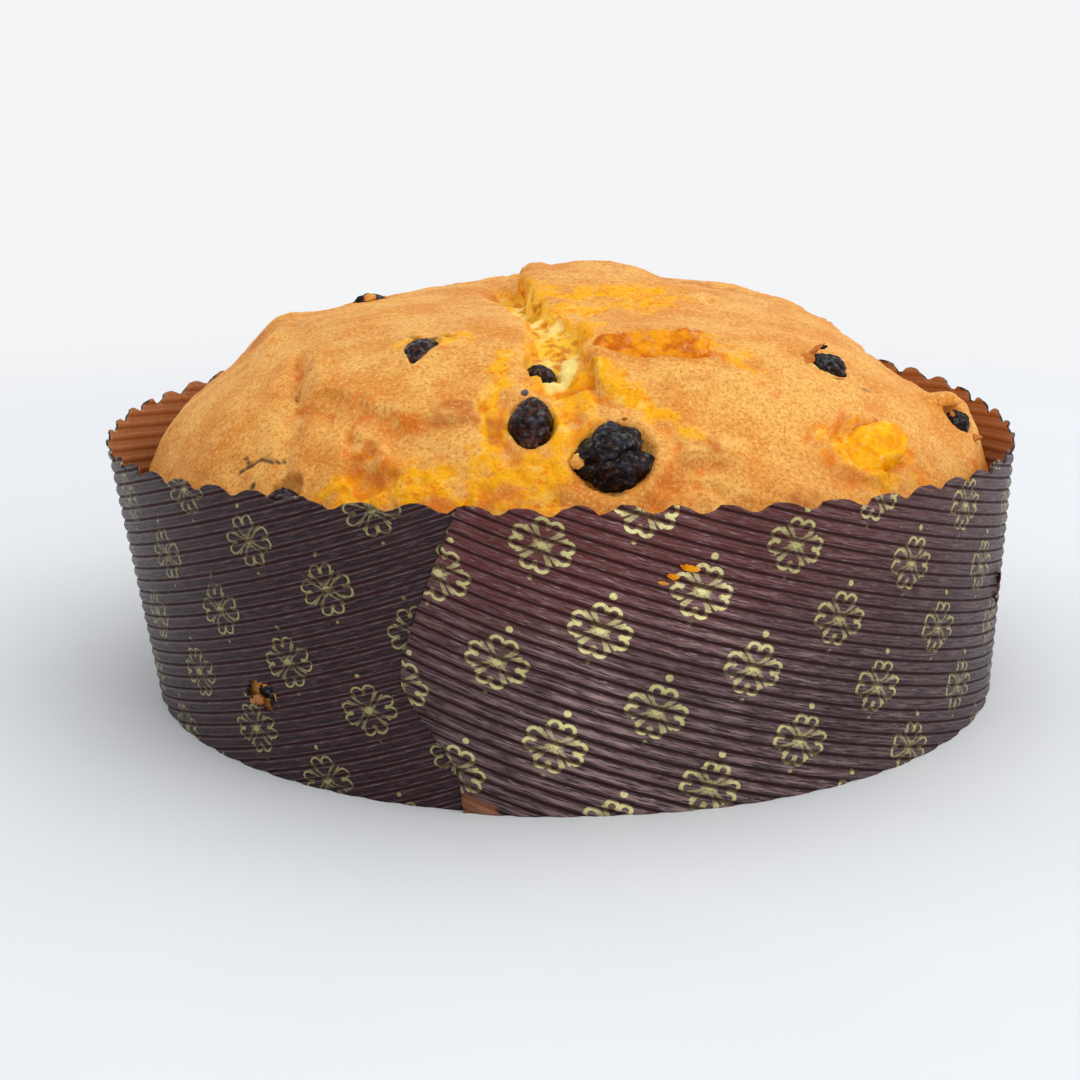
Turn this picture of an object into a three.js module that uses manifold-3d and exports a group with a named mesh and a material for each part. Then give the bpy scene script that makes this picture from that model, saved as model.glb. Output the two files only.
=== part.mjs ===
// A low panettone in its ribbed paper case. Millimetres, +Z up.
// The origin is on the table, under the centre of the case's rim. The front is towards -Y.

import * as THREE from 'three';
import { mergeVertices } from 'three/addons/utils/BufferGeometryUtils.js';
import Module from 'manifold-3d';

const wasm = await Module();
wasm.setup();

// Driving dimensions of the paper case
const RIM_RADIUS = 105;
const FOOT_RADIUS = 98.64;
const WALL_HEIGHT = 61.19;
const FOOT_SHIFT = 3.18; // the foot's centre lies this far to +X of the rim's centre
const RIM_SADDLE = 2.96; // the rim is this much higher at the front and back, and lower at the sides
const RIM_TWIST = 0.7;
const SCALLOPS = 58;
const SCALLOP_HALF_HEIGHT = 1.15;
const SCALLOP_CREST = -29.4; // degrees, where one scallop is highest
const WALL_THICKNESS = 1.3;
const RIB_PITCH = 2.7;
const RIB_DEPTH = 0.7;
const SHEET_STEP = 0.6; // the free end of the sheet stands off the sheet beneath by this
const SHEET_FADE = 16; // degrees over which that step runs out
const SEAM = -15.5; // degrees, where the two ends of the sheet meet
const SEAM_TIP = -19; // degrees, the end of the rounded tongue
const SEAM_TIP_HEIGHT = 28;
const SEAM_OVERLAP = 1.2; // degrees of the lower sheet that lie under the upper one
const SEAM_REACH = 45; // degrees from the seam over which the facets bend to follow its edge
const FIRST_RIB_LINE = 897; // the straight ribs, as distances along the flat strip
const RIB_LINES = 48;
const FLOOR_THICKNESS = 1;
const GAP = 0.35; // between touching pieces

// Driving dimensions of the cake
const SHOULDER_HEIGHT = 42;
const DOME_RISE = 46.6;
const DOME_RADIUS = 99.2;
const DOME_POWER = 3;
const DOME_ROUNDNESS = 0.6;
const DOME_TOP_SHIFT = -3.5; // X of the dome's axis at the top
const DOME_FOOT_SHIFT = 1.8; // X of the dome's axis at the shoulder
const CONTACT_HEIGHT = 35; // the cake touches the paper up to here
const RELIEF_ONSET = 12; // how fast the crust's lumps begin, in from the shoulder
const POCKET_GAP = 0.45; // between a piece of fruit and its pocket
const WRINKLE = 0.035; // of a raisin's size, for each of its waves

const COLUMNS_PER_HALF = 18;
const RIM_POINTS_PER_SCALLOP = 4;
const CAKE_RINGS = 16;
const CAKE_COLUMNS = 54;

const radians = THREE.MathUtils.degToRad;
const degrees = THREE.MathUtils.radToDeg;
const clamp = THREE.MathUtils.clamp;

// Angles run from the front (-Y) towards +X, in degrees.
function onWall(angle, z, outwards = 0) {
  const share = z / WALL_HEIGHT;
  const radius = THREE.MathUtils.lerp(FOOT_RADIUS, RIM_RADIUS, share) + outwards;
  const centreX = FOOT_SHIFT * (1 - share);
  const [across, back] = [Math.sin(radians(angle)), -Math.cos(radians(angle))];
  return new THREE.Vector3(centreX + radius * across, radius * back, z);
}

function toSolid(geometry) {
  const bare = geometry.clone();
  bare.deleteAttribute('normal');
  bare.deleteAttribute('uv');
  const merged = mergeVertices(bare, 1e-5);
  return new wasm.Manifold(new wasm.Mesh({
    numProp: 3,
    vertProperties: Float32Array.from(merged.attributes.position.array),
    triVerts: Uint32Array.from(merged.index.array),
  }));
}

function toGeometry(solid) {
  const mesh = solid.getMesh();
  const geometry = new THREE.BufferGeometry();
  geometry.setAttribute('position', new THREE.BufferAttribute(mesh.vertProperties.slice(), 3));
  geometry.setIndex(new THREE.BufferAttribute(mesh.triVerts.slice(), 1));
  geometry.computeVertexNormals();
  return geometry;
}

function geometryOf(points, triangles) {
  const geometry = new THREE.BufferGeometry().setFromPoints(points);
  geometry.setIndex(triangles);
  return geometry;
}

// The free edge of the sheet: a rounded tongue that points to the left.
function seamAngle(z) {
  const above = z > SEAM_TIP_HEIGHT;
  const slope = (above ? 0.26 : 0.36) * (z - SEAM_TIP_HEIGHT); // degrees of turn
  const rounding = 1.2;
  const back = Math.hypot(slope, rounding) - rounding;
  return SEAM_TIP + Math.min(back, above ? 8.5 : 5.7);
}

// The sheet is a flat ribbed strip bent into a cone, so each straight rib dips towards the seam.
const CONE_SINE = (RIM_RADIUS - FOOT_RADIUS) / Math.hypot(RIM_RADIUS - FOOT_RADIUS, WALL_HEIGHT);
const CONE_COSINE = Math.sqrt(1 - CONE_SINE * CONE_SINE);
const FOOT_SLANT = FOOT_RADIUS / CONE_SINE;

function heightOfRib(ribLine, turn) {
  const sector = radians(turn - 180) * CONE_SINE;
  return (ribLine / Math.cos(sector) - FOOT_SLANT) * CONE_COSINE;
}

// One end of the sheet, from turn start to turn end, as a closed band that runs past the rim and the foot.
function sheetBand(start, end, lifted) {
  const inner = [];
  const outer = [];
  const innerEvery = 8;
  const ribLines = [];
  for (let k = 0; k <= 2 * RIB_LINES; k++) ribLines.push(FIRST_RIB_LINE + (k * RIB_PITCH) / 2);
  for (let c = 0; c <= COLUMNS_PER_HALF; c++) {
    const turn = THREE.MathUtils.lerp(start, end, c / COLUMNS_PER_HALF);
    const fromEdge = Math.min(turn, 360 - turn);
    const follow = clamp(1 - fromEdge / SEAM_REACH, 0, 1);
    const lift = lifted ? SHEET_STEP * clamp(1 - turn / SHEET_FADE, 0, 1) : 0;
    const tuck = turn > 360 ? (WALL_THICKNESS - RIB_DEPTH) / 2 : 0;
    ribLines.forEach((line, k) => {
      let z = SEAM_TIP_HEIGHT;
      let bend = 0;
      for (let settle = 0; settle < 12; settle++) {
        bend = (seamAngle(z) - SEAM) * follow;
        z = heightOfRib(line, turn + bend);
      }
      const angle = SEAM + turn + bend;
      const valley = k % 2 ? RIB_DEPTH : 0;
      outer.push(onWall(angle, z, lift - tuck - valley));
      if (k % innerEvery === 0) inner.push(onWall(angle, z, -WALL_THICKNESS));
    });
  }
  return closedBand(outer, ribLines.length, inner, innerEvery);
}

// Joins an outer grid and a coarser inner grid, both stored column by column, into one closed body.
function closedBand(outer, outerRows, inner, innerEvery) {
  const innerRows = (outerRows - 1) / innerEvery + 1;
  const columns = outer.length / outerRows;
  const base = outer.length;
  const triangles = [];
  const out = (c, r) => c * outerRows + r;
  const inn = (c, r) => base + c * innerRows + r;
  for (let c = 0; c + 1 < columns; c++) {
    for (let r = 0; r + 1 < outerRows; r++) {
      triangles.push(out(c, r), out(c + 1, r), out(c + 1, r + 1));
      triangles.push(out(c, r), out(c + 1, r + 1), out(c, r + 1));
    }
    for (let r = 0; r + 1 < innerRows; r++) {
      triangles.push(inn(c, r), inn(c + 1, r + 1), inn(c + 1, r));
      triangles.push(inn(c, r), inn(c, r + 1), inn(c + 1, r + 1));
    }
    const [top, innerTop] = [outerRows - 1, innerRows - 1];
    triangles.push(out(c, 0), inn(c + 1, 0), out(c + 1, 0), out(c, 0), inn(c, 0), inn(c + 1, 0));
    triangles.push(out(c, top), out(c + 1, top), inn(c + 1, innerTop));
    triangles.push(out(c, top), inn(c + 1, innerTop), inn(c, innerTop));
  }
  for (const [c, flip] of [[0, false], [columns - 1, true]]) {
    const add = (a, b, d) => (flip ? triangles.push(a, d, b) : triangles.push(a, b, d));
    for (let i = 0; i + 1 < innerRows; i++) {
      for (let j = 0; j < innerEvery; j++) {
        const r = i * innerEvery + j;
        const corner = j < innerEvery / 2 ? inn(c, i) : inn(c, i + 1);
        add(out(c, r), out(c, r + 1), corner);
      }
      add(inn(c, i), out(c, i * innerEvery + innerEvery / 2), inn(c, i + 1));
    }
  }
  return toSolid(geometryOf([...outer, ...inner], triangles));
}

function rimHeight(angle) {
  const a = radians(angle);
  const saddle = RIM_SADDLE * Math.cos(2 * a) - RIM_TWIST * Math.sin(2 * a);
  const scallop = Math.cos(SCALLOPS * radians(angle - SCALLOP_CREST));
  const rounded = 0.75 * scallop + 0.25 * (1 - scallop * scallop);
  return WALL_HEIGHT + saddle + SCALLOP_HALF_HEIGHT * rounded;
}

// A ring that stands on the table and ends in the scalloped rim. Its overlap with the sheets is the wall.
function rimRing() {
  const count = SCALLOPS * RIM_POINTS_PER_SCALLOP;
  const points = [];
  const triangles = [];
  for (let i = 0; i < count; i++) {
    const angle = (360 * i) / count;
    const outward = new THREE.Vector2(Math.sin(radians(angle)), -Math.cos(radians(angle)));
    for (const radius of [RIM_RADIUS - 20, RIM_RADIUS + 15]) {
      for (const z of [0, rimHeight(angle)]) {
        points.push(new THREE.Vector3(outward.x * radius, outward.y * radius, z));
      }
    }
    const next = (i + 1) % count;
    const side = [0, 2, 3, 1];
    side.forEach((corner, k) => {
      const far = side[(k + 1) % 4];
      triangles.push(i * 4 + corner, next * 4 + corner, next * 4 + far);
      triangles.push(i * 4 + corner, next * 4 + far, i * 4 + far);
    });
  }
  return toSolid(geometryOf(points, triangles));
}

// Two torn holes, seen square on: a ragged outline pushed through the wall.
const HOLES = [
  { angle: -39.4, height: 18.6, halfWidth: 2.6, halfHeight: 2.4, tilt: 25 },
  { angle: 70, height: 28.3, halfWidth: 2.1, halfHeight: 3.1, tilt: 0 },
];

function tornHole({ angle, height, halfWidth, halfHeight, tilt }) {
  const outline = new THREE.Shape();
  const corners = 9;
  for (let i = 0; i < corners; i++) {
    const a = (2 * Math.PI * i) / corners;
    const ragged = 1 + 0.16 * Math.sin(4.3 * i);
    const x = halfWidth * ragged * Math.cos(a);
    const y = halfHeight * ragged * Math.sin(a);
    if (i === 0) outline.moveTo(x, y);
    else outline.lineTo(x, y);
  }
  outline.closePath();
  const plug = new THREE.ExtrudeGeometry(outline, { depth: 10, bevelEnabled: false });
  plug.translate(0, 0, -5);
  plug.rotateZ(radians(tilt));
  plug.rotateX(Math.PI / 2);
  plug.rotateZ(radians(angle));
  const middle = onWall(angle, height);
  plug.translate(middle.x, middle.y, middle.z);
  return toSolid(plug);
}

function paperWall() {
  const upperSheet = sheetBand(0, 180, true);
  const lowerSheet = sheetBand(180, 360 + SEAM_OVERLAP, false);
  let wall = upperSheet.add(lowerSheet).intersect(rimRing());
  for (const hole of HOLES) wall = wall.subtract(tornHole(hole));
  return toGeometry(wall);
}

function paperFloor() {
  const facetSag = 0.25;
  const radius = FOOT_RADIUS - WALL_THICKNESS - GAP - facetSag;
  const disc = new THREE.CylinderGeometry(radius, radius, FLOOR_THICKNESS, 48);
  disc.rotateX(Math.PI / 2);
  disc.translate(FOOT_SHIFT, 0, FLOOR_THICKNESS / 2);
  return disc;
}

// Lumps and hollows of the crust: x, y, half length, half width, turn from +X in degrees, height.
const CRUST_RELIEF = [
  { name: 'crown', x: 9, y: 24, along: 18, across: 20, turn: 0, height: 5 },
  { name: 'plateau dip', x: -28, y: 20, along: 14, across: 22, turn: 0, height: -1.2 },
  { name: 'left slope', x: -76, y: 10, along: 11, across: 30, turn: 0, height: -3.2 },
  { name: 'right shoulder', x: 94, y: -18, along: 8, across: 16, turn: 0, height: 6 },
  { name: 'right slope', x: 82, y: 12, along: 13, across: 26, turn: 0, height: -4 },
  { name: 'fissure end', x: -13, y: 16, along: 4, across: 12, turn: 0, height: -5.2 },
  { name: 'fissure back', x: -6, y: -20, along: 5, across: 22, turn: 6, height: -3.4 },
  { name: 'fissure front', x: -1, y: -62, along: 5.5, across: 16, turn: 0, height: -3 },
  { name: 'left lobe', x: -24, y: -48, along: 24, across: 30, turn: -12, height: 2 },
  { name: 'right lobe', x: 36, y: -52, along: 28, across: 18, turn: 8, height: 1.8 },
  { name: 'slab ledge', x: 20, y: -43, along: 17, across: 4.5, turn: 3, height: -1.8 },
  { name: 'left crease', x: -56, y: -52, along: 2.6, across: 20, turn: 0, height: -2 },
  { name: 'lower fold', x: -36, y: -72, along: 13, across: 3, turn: -35, height: -2.2 },
  { name: 'fold pit', x: -39, y: -78, along: 3.4, across: 3.4, turn: 0, height: -2.4 },
  { name: 'lower lobe', x: -47, y: -72, along: 7, across: 6, turn: 20, height: 1.6 },
  { name: 'back left lobe', x: -69, y: 22, along: 8, across: 16, turn: 0, height: 4.4 },
  { name: 'back left dip', x: -48, y: 30, along: 12, across: 18, turn: 0, height: -0.9 },
  { name: 'crown slope', x: 28, y: 34, along: 9, across: 16, turn: 0, height: -1 },
  { name: 'back right lobe', x: 44, y: 40, along: 18, across: 14, turn: 20, height: 1.8 },
];

function reliefAt(x, y) {
  let sum = 0;
  for (const lump of CRUST_RELIEF) {
    const cos = Math.cos(radians(lump.turn));
    const sin = Math.sin(radians(lump.turn));
    const u = ((x - lump.x) * cos + (y - lump.y) * sin) / lump.along;
    const v = ((y - lump.y) * cos - (x - lump.x) * sin) / lump.across;
    sum += lump.height * Math.exp(-u * u - v * v);
  }
  return sum;
}

function onDome(angle, share) {
  const centreX = THREE.MathUtils.lerp(DOME_TOP_SHIFT, DOME_FOOT_SHIFT, share * share);
  const x = centreX + share * DOME_RADIUS * Math.sin(radians(angle));
  const y = -share * DOME_RADIUS * Math.cos(radians(angle));
  const rise = DOME_RISE * Math.pow(1 - Math.pow(share, DOME_POWER), DOME_ROUNDNESS);
  const relief = reliefAt(x, y) * clamp((1 - share) * RELIEF_ONSET, 0, 1);
  return new THREE.Vector3(x, y, SHOULDER_HEIGHT + rise + relief);
}

// The cake's side: straight up the paper, then in to the shoulder.
function sideRing(angle, z) {
  const chord = Math.cos(Math.PI / (2 * COLUMNS_PER_HALF));
  const wall = onWall(angle, z, -WALL_THICKNESS - GAP);
  const centreX = FOOT_SHIFT * (1 - z / WALL_HEIGHT);
  return new THREE.Vector3(centreX + (wall.x - centreX) * chord, wall.y * chord, z);
}

function cakeBody() {
  const bottom = FLOOR_THICKNESS + GAP;
  const rings = [bottom, 18, CONTACT_HEIGHT].map((z) => (angle) => sideRing(angle, z));
  for (let i = 0; i < CAKE_RINGS; i++) {
    const share = Math.sin((Math.PI / 2) * (1 - i / CAKE_RINGS));
    rings.push((angle) => onDome(angle, share));
  }
  const points = [];
  for (const ring of rings) {
    for (let c = 0; c < CAKE_COLUMNS; c++) points.push(ring((360 * c) / CAKE_COLUMNS));
  }
  const top = points.push(onDome(0, 0)) - 1;
  const foot = points.push(new THREE.Vector3(FOOT_SHIFT, 0, bottom)) - 1;
  const triangles = [];
  for (let c = 0; c < CAKE_COLUMNS; c++) {
    const next = (c + 1) % CAKE_COLUMNS;
    for (let r = 0; r + 1 < rings.length; r++) {
      const [low, high] = [r * CAKE_COLUMNS, (r + 1) * CAKE_COLUMNS];
      triangles.push(low + c, low + next, high + next, low + c, high + next, high + c);
    }
    const last = (rings.length - 1) * CAKE_COLUMNS;
    triangles.push(last + c, last + next, top, next, c, foot);
  }
  return toSolid(geometryOf(points, triangles));
}

// A seeded source of numbers from 0 to 1
function seededRandom(seed) {
  let state = seed;
  return () => {
    state = (state * 16807) % 2147483647;
    return state / 2147483647;
  };
}

// A wrinkled raisin about the origin; grown by a margin it is also the pocket that the raisin sits in.
function raisinGeometry({ halfSize, seed, detail }, margin = 0) {
  const random = seededRandom(seed);
  const waves = [];
  for (let i = 0; i < 5; i++) {
    const direction = new THREE.Vector3(random() - 0.5, random() - 0.5, random() - 0.5).normalize();
    waves.push({ direction, count: 3 + 3 * random(), phase: 6.28 * random() });
  }
  const geometry = new THREE.IcosahedronGeometry(1, detail);
  const position = geometry.attributes.position;
  const point = new THREE.Vector3();
  for (let i = 0; i < position.count; i++) {
    point.fromBufferAttribute(position, i).normalize();
    let wrinkle = 0;
    for (const wave of waves) wrinkle += Math.sin(wave.count * point.dot(wave.direction) + wave.phase);
    const swell = 1 + WRINKLE * wrinkle;
    position.setXYZ(
      i,
      point.x * (halfSize[0] * swell + margin),
      point.y * (halfSize[1] * swell + margin),
      point.z * (halfSize[2] * swell + margin),
    );
  }
  return geometry;
}

// A candied peel piece about the origin: a slab with soft edges.
function peelGeometry({ halfSize, roundness }, margin = 0) {
  const geometry = new THREE.SphereGeometry(1, 16, 8);
  const position = geometry.attributes.position;
  const point = new THREE.Vector3();
  const squared = (value) => Math.sign(value) * Math.pow(Math.abs(value), roundness);
  for (let i = 0; i < position.count; i++) {
    point.fromBufferAttribute(position, i);
    position.setXYZ(
      i,
      squared(point.x) * (halfSize[0] + margin),
      squared(point.y) * (halfSize[1] + margin),
      squared(point.z) * (halfSize[2] + margin),
    );
  }
  return geometry;
}

// Fruit on the crust: where it lies, how deep its centre is under the crust, its turn and its tilt.
const RAISINS = [
  { name: 'raisin_big', x: 10.6, y: -82, sink: 0.5, turn: 20, tilt: 50,
    halfSize: [8.1, 7.2, 5.2], detail: 3, seed: 11 },
  { name: 'raisin_centre', x: -5.5, y: -74.6, sink: 0.6, turn: 85, tilt: 45,
    halfSize: [6.3, 4.6, 4], detail: 3, seed: 23 },
  { name: 'raisin_right', x: 57.7, y: -34.7, sink: 0.9, turn: -15, tilt: 20,
    halfSize: [4.4, 3.6, 3], detail: 2, seed: 37 },
  { name: 'raisin_fissure', x: -3.8, y: -57.7, sink: 1.4, turn: -35, tilt: 30,
    halfSize: [3.6, 2.7, 2.5], detail: 2, seed: 41 },
  { name: 'raisin_left', x: -28.5, y: -45.2, sink: 1.8, turn: -30, tilt: 15,
    halfSize: [3.8, 3.2, 2.6], detail: 2, seed: 53 },
  { name: 'raisin_edge', x: 89.5, y: -22, sink: 0.8, turn: 70, tilt: 30,
    halfSize: [3.6, 3, 2.6], detail: 2, seed: 61 },
  { name: 'raisin_back', x: -44.4, y: 13.7, sink: 1, turn: 0, tilt: 0,
    halfSize: [4.6, 3.2, 2.8], detail: 2, seed: 71 },
  { name: 'raisin_front_left', x: -55.9, y: -73.2, sink: 1.2, turn: -35, tilt: 40,
    halfSize: [4.4, 3, 2.5], detail: 2, seed: 83 },
];
const PEELS = [
  { name: 'peel_slab', x: 19, y: -46.5, sink: 1.6, turn: 4, tilt: 46,
    halfSize: [12, 4.4, 2.6], roundness: 0.6 },
  { name: 'peel_lemon', x: 65, y: -57.5, sink: 1.2, turn: 38, tilt: 42,
    halfSize: [8.2, 5.6, 2.4], roundness: 0.8 },
];

function crustHeight(x, y) {
  let share = Math.hypot(x, y) / DOME_RADIUS;
  for (let settle = 0; settle < 10; settle++) {
    const centreX = THREE.MathUtils.lerp(DOME_TOP_SHIFT, DOME_FOOT_SHIFT, share * share);
    share = Math.hypot(x - centreX, y) / DOME_RADIUS;
  }
  return onDome(degrees(Math.atan2(x, -y)), share).z;
}

function placed(geometry, { x, y, sink, turn, tilt }) {
  geometry.rotateZ(radians(turn));
  geometry.rotateX(radians(tilt));
  geometry.translate(x, y, crustHeight(x, y) - sink);
  return geometry;
}

const FRUIT = [
  ...RAISINS.map((piece) => ({ piece, make: raisinGeometry, colour: 0x1c1416, roughness: 0.35 })),
  ...PEELS.map((piece) => ({ piece, make: peelGeometry, colour: 0xf0a02c, roughness: 0.3 })),
];

function cakeWithPockets() {
  let cake = cakeBody();
  for (const { piece, make } of FRUIT) cake = cake.subtract(toSolid(placed(make(piece, POCKET_GAP), piece)));
  return toGeometry(cake);
}

function finish(color, roughness) {
  return new THREE.MeshStandardMaterial({ color, roughness, metalness: 0 });
}

function named(name, geometry, material) {
  const mesh = new THREE.Mesh(geometry, material);
  mesh.name = name;
  return mesh;
}

const panettone = new THREE.Group();
panettone.name = 'panettone';
panettone.add(named('paper_wall', paperWall(), finish(0x4a2c2e, 0.5)));
panettone.add(named('paper_floor', paperFloor(), finish(0x9a6438, 0.85)));
panettone.add(named('cake', cakeWithPockets(), finish(0xe09a48, 0.75)));
for (const { piece, make, colour, roughness } of FRUIT) {
  panettone.add(named(piece.name, placed(make(piece), piece), finish(colour, roughness)));
}

export default panettone;
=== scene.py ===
"""A low panettone in its ribbed, gold printed paper case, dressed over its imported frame."""

import logging
import math
from dataclasses import dataclass
from enum import Enum
from typing import Callable, Optional, Sequence

import bpy
import numpy as np
from mathutils import Euler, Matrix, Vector


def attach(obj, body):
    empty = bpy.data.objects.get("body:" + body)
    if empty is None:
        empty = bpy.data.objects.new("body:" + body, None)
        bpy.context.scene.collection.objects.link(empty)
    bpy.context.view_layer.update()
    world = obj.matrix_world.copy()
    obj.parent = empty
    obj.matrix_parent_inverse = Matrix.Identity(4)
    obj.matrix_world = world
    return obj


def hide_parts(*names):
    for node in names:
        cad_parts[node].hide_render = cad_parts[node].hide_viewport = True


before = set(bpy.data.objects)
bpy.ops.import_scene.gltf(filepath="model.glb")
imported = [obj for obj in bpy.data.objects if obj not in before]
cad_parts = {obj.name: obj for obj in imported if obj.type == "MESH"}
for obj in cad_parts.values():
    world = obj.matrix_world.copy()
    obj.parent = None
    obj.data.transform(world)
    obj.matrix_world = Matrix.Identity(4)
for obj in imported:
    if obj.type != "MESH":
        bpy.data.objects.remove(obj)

LOG = logging.getLogger("panettone")
MM = 0.001
BODY = "root"
RIB_PITCH = 2.7
SHEET_SIDES = 2
FRUIT_STEPS = 6
BIT_STEPS = 4


class GradientNoise:
    """Seeded gradient noise on arrays of points."""

    CELLS = 256
    GAIN = 1.7
    LAYER_SHIFT = 17.3

    def __init__(self, seed: int) -> None:
        """Draws the lattice of gradients, starting from a seed.

        Args:
            seed: where the random draw starts from.
        """
        random = np.random.default_rng(seed)
        self.order = np.tile(random.permutation(self.CELLS), 3)
        slopes = random.normal(size=(self.CELLS, 3))
        self.slopes = slopes / np.linalg.norm(slopes, axis=1)[:, None]

    def at(self, points: np.ndarray, size: float) -> np.ndarray:
        """Noise from about -1 to 1 with features of one size.

        Args:
            points: array of shape (n, 3), in millimetres.
            size: how far apart the features are, in millimetres.

        Returns:
            One value for each point.
        """
        scaled = points / size
        cell = np.floor(scaled).astype(int)
        inside = scaled - cell
        ease = inside * inside * inside * (inside * (inside * 6 - 15) + 10)
        total = np.zeros(len(points))
        for corner in range(8):
            step = np.array([corner & 1, corner >> 1 & 1, corner >> 2 & 1])
            place = (cell + step) & (self.CELLS - 1)
            index = self.order[self.order[self.order[place[:, 0]] + place[:, 1]] + place[:, 2]]
            share = np.prod(np.where(step == 1, ease, 1 - ease), axis=1)
            total += share * np.einsum("ij,ij->i", self.slopes[index], inside - step)
        return total * self.GAIN

    def layered(self, points: np.ndarray, size: float, layers: int, fade: float = 0.5) -> np.ndarray:
        """Several layers of noise, each half as large as the last.

        Args:
            points: array of shape (n, 3), in millimetres.
            size: feature size of the first layer, in millimetres.
            layers: how many layers to add.
            fade: strength of each layer against the one before.

        Returns:
            One value for each point.
        """
        total = np.zeros(len(points))
        strength = 1.0
        for layer in range(layers):
            total += strength * self.at(points + self.LAYER_SHIFT * layer, size / 2**layer)
            strength *= fade
        return total


def smooth_step(low: float, high: float, value: np.ndarray) -> np.ndarray:
    """Eases from 0 at low to 1 at high."""
    t = np.clip((value - low) / (high - low), 0, 1)
    return t * t * (3 - 2 * t)


def bell(value: np.ndarray) -> np.ndarray:
    """1 at 0, falling off smoothly on both sides."""
    return np.exp(-(value**2))


def bells(angle: np.ndarray, humps: Sequence[tuple]) -> np.ndarray:
    """Adds up bells round the case, each given as its strength, its angle and its half width."""
    return sum(strength * bell((angle - middle) / width) for strength, middle, width in humps)


def turned(points: np.ndarray, *turns: tuple) -> np.ndarray:
    """Turns points about X, Y and Z, by one set of degrees after another.

    Args:
        points: array of shape (n, 3), in millimetres.
        turns: sets of three angles, in degrees.

    Returns:
        The turned points.
    """
    for degrees in turns:
        points = points @ np.array(Euler([math.radians(angle) for angle in degrees]).to_matrix()).T
    return points


def along_line(x: np.ndarray, y: np.ndarray, line: Sequence[tuple]) -> tuple:
    """Measures each point against a line of straight stretches.

    Args:
        x: X of the points.
        y: Y of the points.
        line: corners of the line, each (x, y) or (x, y, half width).

    Returns:
        Distance to the line, signed side (1 on its left) and the line's half width there.
    """
    best = np.full(x.shape, np.inf)
    side = np.zeros(x.shape)
    width = np.ones(x.shape)
    for start, end in zip(line, line[1:]):
        dx, dy = end[0] - start[0], end[1] - start[1]
        t = np.clip(((x - start[0]) * dx + (y - start[1]) * dy) / (dx * dx + dy * dy), 0, 1)
        away = np.hypot(x - start[0] - t * dx, y - start[1] - t * dy)
        nearer = away < best
        best = np.where(nearer, away, best)
        side = np.where(nearer, np.sign(dx * (y - start[1]) - dy * (x - start[0])), side)
        if len(start) > 2:
            width = np.where(nearer, start[2] + t * (end[2] - start[2]), width)
    return best, side, width


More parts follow.
